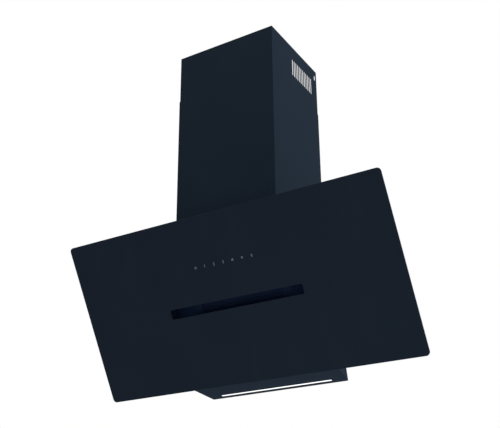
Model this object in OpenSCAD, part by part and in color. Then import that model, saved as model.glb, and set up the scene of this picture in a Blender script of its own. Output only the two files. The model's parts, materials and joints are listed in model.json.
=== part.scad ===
// Wall chimney hood: an inclined glass front over a folded steel housing, with a centrifugal
// blower inside and a two-part sliding chimney above.
// Lengths are in millimetres. The origin is on the wall, centred, level with the back edge of
// the underside. X runs along the wall, +Y points into the wall and +Z points up.

/* [Glass front] */
// Width of the glass
glass_w = 895; // [700:1:1200]
// Height of the glass along its slope
glass_h = 435; // [425:1:480]
// Thickness of the glass
glass_t = 4; // [3:0.5:6]
// Lean of the glass from upright, top edge outwards
glass_lean = 30.8; // [26:0.1:34]
// Distance from the wall to the lower edge of the glass
glass_foot = 110; // [105:1:120]
// Radius of the glass corners
glass_corner = 10; // [2:1:30]
// Width of the intake slot
slot_w = 380; // [300:1:384]
// Height of the intake slot
slot_h = 25; // [15:1:40]
// Height of the slot's centre above the lower edge, along the slope
slot_up = 203.8; // [160:0.1:230]
// Corner radius of the slot
slot_corner = 5; // [1:0.5:7]

/* [Touch controls] */
// Height of the row of symbols along the slope
touch_up = 308.4; // [290:0.1:330]
// Distance between two symbols
touch_pitch = 27; // [20:1:32]
// Height of one symbol
symbol_h = 7; // [6:0.5:12]
// Line width of a symbol
symbol_line = 0.9; // [0.6:0.1:1.2]
// How far the printed symbols stand proud of the glass
symbol_t = 0.12; // [0.05:0.01:0.3]

/* [Housing] */
// Width of the housing at its front rim
body_front_w = 420; // [412:1:440]
// Inward lean of the side panels, from the front rim towards the wall
side_lean = 11.5; // [9:0.1:13]
// Height of the housing's top above the underside's back edge
body_top = 372; // [366:1:385]
// Rise of the underside towards the front
underside_rise = 8.14; // [4:0.1:12]
// Distance from the outer face of the glass back to the housing's rim
rim_depth = 28; // [27:1:32]
// Distance from the outer face of the glass back to the inner front panel
panel_depth = 42; // [40:1:46]
// Thickness of the housing's sheet steel
sheet_t = 1; // [0.8:0.1:1.5]

/* [Chimney] */
// Width of the lower chimney
chimney_w = 296.5; // [280:0.5:306]
// Depth of the lower chimney
chimney_d = 263.2; // [240:0.1:275]
// Height of the lower chimney's top edge
lower_top = 774.3; // [700:0.1:820]
// Height of the upper chimney's top edge at rest
upper_top = 916.6; // [890:0.1:1000]
// Length of the upper chimney
upper_len = 390; // [330:1:400]
// Thickness of the chimney's sheet steel
chimney_t = 0.8; // [0.6:0.1:1]
// Sliding clearance between the two chimneys
chimney_gap = 0.7; // [0.4:0.1:1]
// Number of vent slots in each side of the upper chimney
vent_count = 12; // [4:1:14]
// Width of one vent slot
vent_w = 4.6; // [3:0.1:6]
// Height of one vent slot
vent_h = 51; // [30:1:80]
// Distance between two vent slots
vent_pitch = 9.97; // [8:0.01:11]
// Distance from the wall to the first vent slot
vent_back = 34.2; // [25:0.1:60]
// Distance from the upper chimney's top edge down to the vents
vent_down = 41; // [20:1:60]

/* [Lamp] */
// Length of the lamp's window
lamp_w = 320; // [200:1:340]
// Depth of the lamp's window
lamp_d = 7; // [6.5:0.1:20]
// Distance along the underside from the wall to the lamp's window
lamp_back = 13.6; // [10:0.1:16]

/* [Grease filter] */
// Width of the filter over its lip
filter_w = 278.6; // [200:0.1:300]
// Height of the filter over its lip
filter_h = 298; // [240:1:310]
// Depth of the filter behind its lip
filter_d = 9; // [6:0.5:10]

/* [Blower] */
// Radius of the impeller
impeller_r = 66; // [56:1:68]
// Half width of the impeller
impeller_half = 46; // [36:1:50]
// Number of blades
blade_count = 30; // [16:1:40]
// Gap between the impeller and the tongue of the scroll
tongue_gap = 4; // [3:0.5:6]
// Growth of the scroll's radius in one full turn
scroll_growth = 34; // [20:1:36]
// Wall thickness of the scroll
scroll_t = 2; // [1.5:0.1:3]
// Distance from the wall to the blower's axis
blower_back = 115; // [110:1:120]
// Distance from the housing's top down to the blower's axis
blower_down = 87; // [84:1:92]
// Outside radius of the duct spigot
duct_r = 75; // [50:0.5:76]
// Length of the duct spigot
duct_len = 50; // [40:1:70]

/* [Hidden] */

$fn = 48;
// How far a cut runs past the face it opens
over = 1;
// Clearance between two pieces that nearly touch
near = 0.3;
// Radial clearance of a turning pin or shaft
run_gap = 0.05;
// Clearance round a screw's shank
screw_gap = 0.06;

// Slopes of the inclined front and of the underside
lean_cos = cos(glass_lean);
lean_sin = sin(glass_lean);
lean_tan = tan(glass_lean);
rise_tan = tan(underside_rise);
rise_cos = cos(underside_rise);

// Change of the housing's half width for each unit of depth behind the glass
wall_depth = glass_foot * lean_cos;
side_taper = tan(side_lean);
side_stretch = sqrt(1 + side_taper * side_taper);

// Heights along the slope where the rim meets the underside and the top
function under_u(depth, lift = 0) =
    (glass_foot - depth / lean_cos + lift / rise_cos * lean_tan) / (1 - rise_tan * lean_tan);
function under_z(depth, lift = 0) = rise_tan * under_u(depth, lift) + lift / rise_cos;
function slope_up(z, depth) = (z - depth * lean_sin) / lean_cos;
function front_u(z, depth) = glass_foot - depth / lean_cos + z * lean_tan;
rim_low = slope_up(under_z(rim_depth), rim_depth);
rim_high = slope_up(body_top, rim_depth);

// Front rim: widths of its four bands
rim_side = 12;
rim_bottom = 26;
rim_top = 34;

// Bumpers and magnets on the rim
bumper_h = 3.6;
bumper_r = 4;
bumper_side = 16;
bumper_hinge_gap = 20;
magnet_w = 30;
magnet_h = 8;
magnet_side = 90;
magnet_up = 1.5;

// Door tray: the folded pan glued behind the glass
tray_inset = 10;
tray_w = body_front_w - 2 * tray_inset;
tray_up = 15;
tray_low = rim_low + tray_up;
tray_lip = 10;
tray_depth = rim_depth - bumper_h - near;
tray_t = sheet_t;
tray_slot_margin = 2;
tray_corner = 4;
bumper_x = tray_w / 2 - bumper_side;
magnet_x = tray_w / 2 - magnet_side;

// Hinges
hinge_down = 12.4;
hinge_up = rim_high - hinge_down;
hinge_back = 9;
hinge_depth = rim_depth - hinge_back;
hinge_r = 5;
hinge_pin_r = 2.5;
hinge_w = 60;
hinge_ear = 10;
hinge_side = 70;
hinge_x = body_front_w / 2 - hinge_side;
hinge_plate = 1.5;
hinge_door_len = 46;
hinge_screw_x = 21;
hinge_body_screw_x = 25.5;
hinge_door_screw_down = 34;
hinge_door_screw_up = hinge_up - hinge_door_screw_down;
bumper_top_x = hinge_x - hinge_w / 2 - bumper_hinge_gap;
tray_under_hinge = 6;
tray_high = hinge_up - hinge_r - tray_under_hinge;

// Touch control unit behind the glass
touch_count = 7;
touch_span = touch_pitch * (touch_count - 1);
carrier_end = 23;
carrier_w = touch_span + 2 * carrier_end;
carrier_h = 36;
carrier_d = 12;
carrier_t = 1.6;
board_t = 1.6;
pad_r = 4;
pad_h = 4;
carrier_lug = 8;
touch_screw_x = carrier_w / 2 + carrier_lug / 2;
plug_w = 22;
plug_h = 8;

// Symbols, drawn in shares of half a symbol's height
power_ring_share = 0.85;
power_gap_share = 0.35;
power_stem_shares = [[0, 0.05], [0, 0.95]];
one_shares = [[-0.3, 0.6], [0, 0.9], [0, -0.9]];
two_shares = [[-0.3, 0.6], [-0.1, 0.9], [0.2, 0.9], [0.35, 0.55], [0.3, 0.15], [-0.35, -0.9],
              [0.35, -0.9]];
three_shares = [[-0.3, 0.9], [0.3, 0.9], [-0.05, 0.2], [0.3, -0.1], [0.3, -0.6], [0.1, -0.9],
                [-0.3, -0.8]];
fan_hub_share = 0.2;
fan_blade_share = 0.38;
fan_blade_shares = [0.15, 0.5];
clock_ring_share = 0.7;
clock_hand_shares = [[0, 0.3], [0, 0], [0.2, -0.1]];
bulb_ring_share = 0.6;
bulb_up_share = 0.25;
bulb_foot_share = 0.25;
bulb_foot_shares = [-0.5, -0.85];

// Screws
small_r = 1.5;
small_head_r = 3;
small_head_h = 1.6;
screw_r = 2;
screw_head_r = 4;
screw_head_h = 2.2;
recess_share = 0.6;
recess_line_share = 0.3;
recess_depth_share = 0.55;

// Grease filter
filter_lip_t = 1;
filter_gap = 0.4;
filter_lip = 3.2;
filter_band = 18;
filter_wall = 1;
mesh_t = 2;
mesh_cols = 10;
mesh_rows = 16;
mesh_bar = 3;
handle_w = 70;
handle_h = 22;
handle_d = 5;
handle_bar = 4;
filter_low = slot_up - filter_h / 2;
cassette_w = filter_w - 2 * filter_lip - 2 * filter_gap;
cassette_low = filter_low + filter_lip + filter_gap;
cassette_high = filter_low + filter_h - filter_lip - filter_gap;
tongue_w = 20;
tongue_len = 5;
latch_w = 44;
latch_nose_w = 34;
latch_grip_w = 24;
latch_grip_h = 5;
latch_grip_d = 4;
latch_h = 11;
latch_t = 3;
latch_travel = 5;
latch_nose = 4.7;
latch_face = panel_depth + sheet_t + near;
latch_grip_low = cassette_high - filter_wall - latch_grip_h - near;

// Lamp
lamp_lip = 3;
lamp_lip_t = 1.5;
lamp_house_wall = 1.5;
lamp_house_h = 11;
lamp_corner = 2;
lamp_board_t = 1;
lamp_board_margin = 1.5;
led_count = 24;
led_size = 3;
led_h = 0.8;

// Blower placement, seen along X: u runs from the wall to the front
blower_y = -blower_back;
blower_z = body_top - blower_down;
scroll_r0 = impeller_r + tongue_gap;
scroll_half = impeller_half + tongue_gap;
tongue_angle = 75;
scroll_turn = 180 + tongue_angle;
scroll_steps = 34;
gasket_t = 3;
scroll_top = body_top - sheet_t - gasket_t;
scroll_flange = 10;
scroll_flange_t = 2.5;
inlet_step = 12;
inlet_r = impeller_r - inlet_step;
function scroll_r(turn) = scroll_r0 + scroll_growth * turn / 360;
function scroll_point(turn, grow) =
    [blower_y - (scroll_r(turn) + grow) * cos(tongue_angle - turn),
     blower_z + (scroll_r(turn) + grow) * sin(tongue_angle - turn)];
outlet_back = blower_back - scroll_r(scroll_turn);
outlet_front = blower_back + scroll_r0 * cos(tongue_angle);
lug_r = 4;
lug_len = 8;
lug_turns = [20, 85, 150, 215];

// Motor
motor_r = 36;
motor_t = 2;
grommet_h = 3;
motor_back = -scroll_half - scroll_t - grommet_h;
motor_front = -8;
shaft_r = 4;
bearing_r = 8;
bearing_w = 7;
stator_bore = 20;
rotor_r = 19.5;
core_gap = 3;
core_back = motor_back + motor_t + bearing_w + core_gap;
core_front = motor_front - motor_t - bearing_w - core_gap;
bracket_t = 2;
bracket_disc_r = 30;
bracket_arm_w = 14;
bracket_end_r = 9;
mount_step = 7;
mount_ring_r = inlet_r + mount_step;
grommet_r = 6.5;
case_screw_r = 24;
blade_deep = 12;
blade_inner = impeller_r - blade_deep;
blade_t = 1;
blade_lean = 14;
hub_r = 11;
hub_back = -5;
hub_front = 12;
disc_t = 1.5;
ring_w = 3;

// Duct collar and its two flaps
collar_u = 84;
collar_wall = 2;
collar_box_x = 80;
collar_box_back = 4;
collar_box_front = 164;
collar_box_h = 14;
collar_tab = 14;
collar_tab_t = 2.5;
collar_screw_u = [30, 138];
spigot_z = body_top + collar_box_h;
flap_t = 1.2;
flap_gap = 1.5;
flap_pin_r = 1;
flap_knuckle_r = 2.2;
flap_up = 12;
flap_offset = 3.2;
flap_z = spigot_z + flap_up;
flap_half = 68;
ledge_w = 4;

// Electrical boxes on the back panel
box_wall = 2;
control_side = 50;
control_x = control_side - body_front_w / 2;
control_z = 90;
control_w = 85;
control_h = 125;
control_d = 33;
power_t = 1.6;
power_up = 5;
post_inset = 8;
post_r = 3;
transformer_x = 12;
transformer_z = 14;
transformer_w = 38;
transformer_h = 34;
transformer_d = 20;
relay_count = 3;
relay_x = 12;
relay_z = 84;
relay_w = 16;
relay_h = 20;
relay_d = 15;
relay_pitch = 20;
terminal_side = 130;
terminal_x = body_front_w / 2 - terminal_side;
terminal_z = 110;
terminal_w = 70;
terminal_h = 70;
terminal_d = 30;
cap_r = 14;
cap_h = 55;
cap_side = 104;
cap_x = body_front_w / 2 - cap_side;
cap_z = 215;
cap_tab = 6;
gland_side = 22;
gland_x = collar_box_x + collar_tab + gland_side;
gland_y = -32;
gland_r = 10;
gland_bore = 4;
gland_seat = 2.5;
gland_h = 4;
lead_r = 2.5;

// Wall hooks and their windows in the back panel
hook_side = 100;
hook_x = body_front_w / 2 - hook_side;
hook_z = 330;
hook_w = 26;
hook_h = 34;
hook_t = 3;
hook_lip = 8;
hook_lip_t = 1.6;
hook_hole_r = 3;
window_side = 4;
window_below = 14;
lock_side = 60;
lock_x = body_front_w / 2 - lock_side;
lock_z = 45;
lock_r = 3;

// Chimney
upper_w = chimney_w - 2 * (chimney_t + chimney_gap);
upper_d = chimney_d - chimney_t - chimney_gap;
foot_flange = 12;
foot_screw_y = [-60, -200];
side_slot_w = 6;
side_slot_h = 15;
side_slot_back = 11;
side_slot_down = 25;

// Puts its children in the frame of the inclined front: X along the glass, Y inwards from the
// outer face of the glass, Z up along it from its lower edge
module on_front() {
    translate([0, -glass_foot, 0])
        rotate([glass_lean, 0, 0])
            children();
}

// Puts its children in the frame of the underside: Y from the wall, Z inwards from its face
module on_underside() {
    rotate([-underside_rise, 0, 0])
        children();
}

// Extrudes a shape drawn in Y and Z along X
module along_x(from, to) {
    translate([from, 0, 0])
        rotate([90, 0, 90])
            linear_extrude(to - from)
                children();
}

// A cylinder along X
module rod_x(r, from, to) {
    translate([from, 0, 0])
        rotate([0, 90, 0])
            cylinder(r = r, h = to - from);
}

// A flat rounded rectangle in X and Z of the front, from one depth to another
module front_sheet(w, low, high, from, to, r) {
    translate([0, to, 0])
        rotate([90, 0, 0])
            linear_extrude(to - from)
                round_rect(w, low, high, r);
}

module round_rect(w, low, high, r) {
    square_w = w - 2 * r;
    translate([-square_w / 2, low])
        square([square_w, high - low]);
    translate([-w / 2, low + r])
        square([w, high - low - 2 * r]);
    for (x = [-square_w / 2, square_w / 2], z = [low + r, high - r])
        translate([x, z])
            circle(r = r);
}

// A slot with round ends, drawn in the plane, its long side along the second axis
module round_slot(w, h) {
    translate([-w / 2, -(h - w) / 2])
        square([w, h - w]);
    for (side = [-1, 1])
        translate([0, side * (h - w) / 2])
            circle(d = w);
}

// A pan-head screw that enters along -Z, with its head's seat at zero
module pan_screw(r, len, head_r, head_h) {
    difference() {
        union() {
            translate([0, 0, -len])
                cylinder(r = r, h = len);
            cylinder(r = head_r, h = head_h);
        }
        for (turn = [0, 90])
            rotate([0, 0, turn])
                translate([0, 0, head_h])
                    cube([2 * head_r * recess_share, head_r * recess_line_share,
                          2 * head_h * recess_depth_share], center = true);
    }
}

module small_screw(len) {
    pan_screw(small_r, len, small_head_r, small_head_h);
}

module sheet_screw(len) {
    pan_screw(screw_r, len, screw_head_r, screw_head_h);
}

// Outline of the housing seen along X, drawn in by a wall thickness
function profile(inset) = [
    [-inset, rise_tan * inset + inset / rise_cos],
    [-inset, body_top - inset],
    [-front_u(body_top - inset, rim_depth), body_top - inset],
    [-under_u(rim_depth, inset), under_z(rim_depth, inset)]
];

// Half width of the housing at a depth behind the glass
function half_w(depth, inset) =
    body_front_w / 2 - side_taper * (depth - rim_depth) - inset * side_stretch;

// Solid that fills the housing, drawn in from the sides and from the other walls
module housing_fill(side_inset, wall_inset) {
    deep = wall_depth + body_top;
    intersection() {
        along_x(-body_front_w, body_front_w)
            polygon(profile(wall_inset));
        on_front()
            translate([0, 0, -body_top])
                linear_extrude(3 * body_top)
                    polygon([
                        [-half_w(rim_depth, side_inset), rim_depth],
                        [half_w(rim_depth, side_inset), rim_depth],
                        [half_w(deep, side_inset), deep],
                        [-half_w(deep, side_inset), deep]
                    ]);
    }
}

// Glass with its intake slot
module glass_panel() {
    color([0.1, 0.12, 0.16])
        on_front()
            difference() {
                front_sheet(glass_w, 0, glass_h, 0, glass_t, glass_corner);
                front_sheet(slot_w, slot_up - slot_h / 2, slot_up + slot_h / 2,
                            -over, glass_t + over, slot_corner);
            }
}

// One straight line of a symbol
module line(from, to) {
    d = to - from;
    len = norm(d);
    translate(from)
        rotate(atan2(d[1], d[0]))
            translate([0, -symbol_line / 2])
                square([len, symbol_line]);
    for (end = [from, to])
        translate(end)
            circle(d = symbol_line, $fn = 16);
}

// Joins the points of a table of shares with lines
module path(shares) {
    for (i = [1:len(shares) - 1])
        line(shares[i - 1] * symbol_h / 2, shares[i] * symbol_h / 2);
}

module ring(share) {
    r = share * symbol_h / 2;
    difference() {
        circle(r = r);
        circle(r = r - symbol_line);
    }
}

// Power sign: a ring with a gap at its top and a stem in the gap
module power_symbol() {
    gap = power_gap_share * symbol_h;
    difference() {
        ring(power_ring_share);
        translate([-gap / 2, 0])
            square([gap, symbol_h]);
    }
    path(power_stem_shares);
}

// Fan with three round blades
module fan_symbol() {
    circle(r = fan_hub_share * symbol_h / 2);
    for (turn = [0, 120, 240])
        rotate(turn)
            translate(fan_blade_shares * symbol_h / 2)
                circle(r = fan_blade_share * symbol_h / 2);
}

module clock_symbol() {
    ring(clock_ring_share);
    path(clock_hand_shares);
}

// Lamp bulb over two lines
module bulb_symbol() {
    translate([0, bulb_up_share * symbol_h / 2])
        ring(bulb_ring_share);
    for (low = bulb_foot_shares)
        path([[-bulb_foot_share, low], [bulb_foot_share, low]]);
}

// The symbols, from left to right
module symbol(which) {
    if (which == 0) power_symbol();
    if (which == 1) path(one_shares);
    if (which == 2) path(two_shares);
    if (which == 3) path(three_shares);
    if (which == 4) fan_symbol();
    if (which == 5) clock_symbol();
    if (which == 6) bulb_symbol();
}

module control_symbols() {
    color([0.6, 0.62, 0.65])
        on_front()
            for (i = [0:touch_count - 1])
                translate([i * touch_pitch - touch_span / 2, 0, touch_up])
                    rotate([90, 0, 0])
                        linear_extrude(symbol_t)
                            symbol(i);
}

// Folded steel pan glued to the back of the glass
module door_tray() {
    low = slot_up - slot_h / 2 - tray_slot_margin;
    high = slot_up + slot_h / 2 + tray_slot_margin;
    inner = tray_w - 2 * tray_t;
    lip_inner = tray_w - 2 * tray_lip;
    color([0.14, 0.15, 0.18])
        on_front()
            difference() {
                front_sheet(tray_w, tray_low, tray_high, glass_t, tray_depth, tray_corner);
                front_sheet(inner, tray_low + tray_t, tray_high - tray_t, glass_t + tray_t,
                            tray_depth - tray_t, tray_corner - tray_t);
                front_sheet(lip_inner, tray_low + tray_lip, tray_high - tray_lip,
                            tray_depth - tray_t - over, tray_depth + over, tray_corner);
                front_sheet(slot_w + 2 * tray_slot_margin, low, high, glass_t - over,
                            glass_t + tray_t + over, slot_corner);
                front_sheet(carrier_w + 2 * near, touch_up - carrier_h / 2 - near,
                            touch_up + carrier_h / 2 + near, glass_t - over,
                            glass_t + tray_t + over, carrier_t);
                for (side = [-1, 1]) {
                    translate([side * hinge_x - hinge_w / 2 - near, glass_t + tray_t,
                               tray_high - tray_lip - over])
                        cube([hinge_w + 2 * near, tray_depth, tray_lip + 2 * over]);
                    translate([side * touch_screw_x, glass_t - over, touch_up])
                        rotate([-90, 0, 0])
                            cylinder(r = small_r + screw_gap, h = tray_t + 2 * over);
                    for (x = [-hinge_screw_x, hinge_screw_x])
                        translate([side * hinge_x + x, glass_t - over, hinge_door_screw_up])
                            rotate([-90, 0, 0])
                                cylinder(r = screw_r + screw_gap, h = tray_t + 2 * over);
                }
            }
}

// Plastic housing of the touch unit, open towards the glass
module touch_carrier() {
    low = touch_up - carrier_h / 2;
    high = touch_up + carrier_h / 2;
    lug_h = 2 * carrier_lug;
    color([0.2, 0.2, 0.22])
        on_front()
            difference() {
                union() {
                    front_sheet(carrier_w, low, high, glass_t, glass_t + carrier_d, carrier_t);
                    front_sheet(carrier_w + 2 * carrier_lug, touch_up - lug_h / 2,
                                touch_up + lug_h / 2, glass_t + tray_t,
                                glass_t + tray_t + carrier_t, carrier_t);
                }
                front_sheet(carrier_w - 2 * carrier_t, low + carrier_t, high - carrier_t,
                            glass_t - over, glass_t + carrier_d + over, carrier_t / 2);
                for (side = [-1, 1])
                    translate([side * touch_screw_x, glass_t, touch_up])
                        rotate([-90, 0, 0])
                            cylinder(r = small_r + screw_gap, h = carrier_d);
            }
}

// Circuit board that carries the touch sensors, with its plug socket
module touch_board() {
    inner_w = carrier_w - 2 * carrier_t - 2 * near;
    inner_h = carrier_h - 2 * carrier_t - 2 * near;
    face = glass_t + pad_h;
    color([0.1, 0.35, 0.2])
        on_front() {
            front_sheet(inner_w, touch_up - inner_h / 2, touch_up + inner_h / 2,
                        face, face + board_t, carrier_t / 2);
            translate([-inner_w / 2 + plug_h, face + board_t, touch_up - plug_w / 2])
                cube([plug_h, carrier_t, plug_w]);
        }
}

// Conductive pads that bridge the board and the glass, one behind each symbol
module touch_pads() {
    color([0.75, 0.6, 0.3])
        on_front()
            for (i = [0:touch_count - 1])
                translate([i * touch_pitch - touch_span / 2, glass_t, touch_up])
                    rotate([-90, 0, 0])
                        cylinder(r = pad_r, h = pad_h);
}

// Snap-on back cover of the touch unit
module touch_cover() {
    low = touch_up - carrier_h / 2;
    high = touch_up + carrier_h / 2;
    back = glass_t + carrier_d;
    color([0.25, 0.25, 0.27])
        on_front()
            difference() {
                union() {
                    front_sheet(carrier_w, low, high, back, back + carrier_t, carrier_t);
                    difference() {
                        front_sheet(carrier_w - 2 * carrier_t - near, low + carrier_t + near / 2,
                                    high - carrier_t - near / 2, back - carrier_t, back,
                                    carrier_t / 2);
                        front_sheet(carrier_w - 4 * carrier_t, low + 2 * carrier_t,
                                    high - 2 * carrier_t, back - carrier_t - over, back + over,
                                    carrier_t / 2);
                    }
                }
                translate([carrier_w / 4, back - over, touch_up - plug_h / 2])
                    cube([plug_w, carrier_t + 2 * over, plug_h]);
            }
}

module touch_screws() {
    color("silver")
        on_front()
            for (side = [-1, 1])
                translate([side * touch_screw_x, glass_t + tray_t + carrier_t, touch_up])
                    rotate([-90, 0, 0])
                        small_screw(tray_t + carrier_t - near);
}

// Half of a hinge that is screwed behind the glass and turns on the pin
module hinge_door(x) {
    face = glass_t + tray_t;
    color("silver")
        on_front()
            translate([x, 0, 0])
                difference() {
                    union() {
                        translate([-hinge_w / 2, face, hinge_up + hinge_r - hinge_door_len])
                            cube([hinge_w, hinge_plate, hinge_door_len]);
                        translate([-hinge_ear, face, hinge_up - hinge_r])
                            cube([2 * hinge_ear, hinge_depth - face, 2 * hinge_r]);
                        translate([0, hinge_depth, hinge_up])
                            rod_x(hinge_r, -hinge_ear, hinge_ear);
                    }
                    translate([0, hinge_depth, hinge_up])
                        rod_x(hinge_pin_r + run_gap, -hinge_w, hinge_w);
                    for (side = [-1, 1])
                        translate([side * hinge_screw_x, face - over, hinge_door_screw_up])
                            rotate([-90, 0, 0])
                                cylinder(r = screw_r + screw_gap, h = hinge_plate + 2 * over);
                }
}

module hinge_door_left() {
    hinge_door(-hinge_x);
}

module hinge_door_right() {
    hinge_door(hinge_x);
}

module hinge_door_screws() {
    color("silver")
        on_front()
            for (x = [-hinge_x, hinge_x], side = [-1, 1])
                translate([x + side * hinge_screw_x, glass_t + tray_t + hinge_plate,
                           hinge_door_screw_up])
                    rotate([-90, 0, 0])
                        sheet_screw(tray_t + hinge_plate - near);
}

// Half of a hinge that is screwed to the front rim and holds the pin in two ears
module hinge_body(x) {
    plate_low = rim_high - hinge_down - hinge_r - hinge_r;
    color("silver")
        on_front()
            translate([x, 0, 0])
                difference() {
                    union() {
                        translate([-hinge_w / 2, rim_depth - hinge_plate, plate_low])
                            cube([hinge_w, hinge_plate, 4 * hinge_r]);
                        for (side = [-1, 1]) {
                            translate([side * (hinge_ear * 3 / 2 + near) - hinge_ear / 2,
                                       hinge_depth, hinge_up - hinge_r])
                                cube([hinge_ear, rim_depth - hinge_depth, 2 * hinge_r]);
                            translate([side * (hinge_ear * 3 / 2 + near), hinge_depth, hinge_up])
                                rod_x(hinge_r, -hinge_ear / 2, hinge_ear / 2);
                        }
                    }
                    translate([0, hinge_depth, hinge_up])
                        rod_x(hinge_pin_r, -hinge_w, hinge_w);
                    for (side = [-1, 1])
                        translate([side * hinge_body_screw_x, rim_depth - hinge_plate - over,
                                   hinge_up])
                            rotate([-90, 0, 0])
                                cylinder(r = small_r + screw_gap, h = hinge_plate + 2 * over);
                }
}

module hinge_body_left() {
    hinge_body(-hinge_x);
}

module hinge_body_right() {
    hinge_body(hinge_x);
}

module hinge_body_screws() {
    color("silver")
        on_front()
            for (x = [-hinge_x, hinge_x], side = [-1, 1])
                translate([x + side * hinge_body_screw_x, rim_depth - hinge_plate, hinge_up])
                    rotate([90, 0, 0])
                        small_screw(hinge_plate + sheet_t + near);
}

module hinge_pins() {
    color("silver")
        on_front()
            for (x = [-hinge_x, hinge_x])
                translate([x, hinge_depth, hinge_up])
                    rod_x(hinge_pin_r, -2 * hinge_ear - near, 2 * hinge_ear + near);
}

// Steel sheet against the wall, with the two hook windows and the lower screw holes
module back_panel() {
    color([0.16, 0.17, 0.2])
        difference() {
            intersection() {
                housing_fill(0, 0);
                translate([-body_front_w, -sheet_t, -over])
                    cube([2 * body_front_w, sheet_t, body_top + 2 * over]);
            }
            for (side = [-1, 1]) {
                translate([side * hook_x - hook_w / 2 - window_side, -sheet_t - over,
                           hook_z - hook_h / 2 - window_below])
                    cube([hook_w + 2 * window_side, sheet_t + 2 * over,
                          hook_h + window_below + near]);
                translate([side * lock_x, over, lock_z])
                    rotate([90, 0, 0])
                        cylinder(r = lock_r, h = sheet_t + 2 * over);
            }
        }
}

// Top sheet, with the blower's outlet, the cable inlet and the screw holes
module top_panel() {
    color([0.14, 0.15, 0.18])
        difference() {
            intersection() {
                housing_fill(0, 0);
                translate([-body_front_w, -body_front_w, body_top - sheet_t])
                    cube([2 * body_front_w, body_front_w - sheet_t, sheet_t]);
            }
            translate([-scroll_half, -outlet_front, body_top - sheet_t - over])
                cube([2 * scroll_half, outlet_front - outlet_back, sheet_t + 2 * over]);
            translate([gland_x, gland_y, body_top - sheet_t - over])
                cylinder(r = gland_r - gland_seat, h = sheet_t + 2 * over);
            for (place = concat(collar_screw_places(), blower_screw_places(),
                                foot_screw_places()))
                translate([place[0], place[1], body_top - sheet_t - over])
                    cylinder(r = screw_r + screw_gap, h = sheet_t + 2 * over);
        }
}

// Rising underside, with the lamp's window
module bottom_panel() {
    color([0.14, 0.15, 0.18])
        difference() {
            intersection() {
                housing_fill(0, 0);
                on_underside()
                    translate([-body_front_w, -body_front_w, -over])
                        cube([2 * body_front_w, body_front_w, sheet_t + over]);
                translate([-body_front_w, -body_front_w - sheet_t, -body_front_w])
                    cube([2 * body_front_w, body_front_w, 2 * body_front_w]);
            }
            on_underside()
                lamp_block(lamp_w, lamp_d, lamp_back, -over, sheet_t + over, lamp_corner);
        }
}

// A rounded block over the lamp's window, grown by a margin on each side
module lamp_block(w, d, back, from, to, r) {
    translate([0, -back - d, from])
        linear_extrude(to - from)
            round_rect(w, 0, d, r);
}

// One tapered side sheet between the other walls
module side_panel(side) {
    deep = wall_depth + body_top;
    color([0.14, 0.15, 0.18])
        intersection() {
            along_x(-body_front_w, body_front_w)
                polygon(profile(sheet_t));
            on_front()
                translate([0, 0, -body_top])
                    linear_extrude(3 * body_top)
                        polygon([
                            [side * half_w(rim_depth, 0), rim_depth],
                            [side * half_w(deep, 0), deep],
                            [side * half_w(deep, sheet_t), deep],
                            [side * half_w(rim_depth, sheet_t), rim_depth]
                        ]);
        }
}

module side_panel_left() {
    side_panel(-1);
}

module side_panel_right() {
    side_panel(1);
}

// Slab of the housing's inside between two depths behind the glass
module inner_slab(from, to) {
    intersection() {
        housing_fill(sheet_t, sheet_t);
        on_front()
            translate([-body_front_w, from, -body_top])
                cube([2 * body_front_w, to - from, 3 * body_top]);
    }
}

// Stiffening frame in the housing's mouth
module front_rim() {
    color([0.1, 0.11, 0.13])
        difference() {
            inner_slab(rim_depth, rim_depth + sheet_t);
            on_front() {
                front_sheet(body_front_w - 2 * sheet_t - 2 * rim_side, rim_low + rim_bottom,
                            rim_high - rim_top, rim_depth - over, rim_depth + sheet_t + over,
                            rim_side / 2);
                for (x = [-hinge_x, hinge_x], side = [-1, 1])
                    translate([x + side * hinge_body_screw_x, rim_depth - over, hinge_up])
                        rotate([-90, 0, 0])
                            cylinder(r = small_r + screw_gap, h = sheet_t + 2 * over);
            }
        }
}

// Inner front panel that holds the filter
module front_panel() {
    opening_w = filter_w - 2 * filter_lip;
    opening_h = filter_h - 2 * filter_lip;
    color([0.07, 0.08, 0.1])
        difference() {
            inner_slab(panel_depth, panel_depth + sheet_t);
            on_front()
                front_sheet(opening_w, filter_low + filter_lip, filter_low + filter_lip + opening_h,
                            panel_depth - over, panel_depth + sheet_t + over, filter_gap);
        }
}

// Two magnets on the rim that hold the glass front closed
module catch_magnets() {
    color([0.3, 0.3, 0.32])
        on_front()
            for (x = [-magnet_x, magnet_x])
                translate([x - magnet_w / 2, rim_depth - bumper_h, tray_low + magnet_up])
                    cube([magnet_w, bumper_h, magnet_h]);
}

// Rubber buttons between the rim and the glass front
module door_bumpers() {
    color([0.05, 0.05, 0.05])
        on_front()
            for (spot = bumper_places())
                translate([spot[0], rim_depth - bumper_h, spot[1]])
                    rotate([-90, 0, 0])
                        cylinder(r = bumper_r, h = bumper_h);
}

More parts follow.
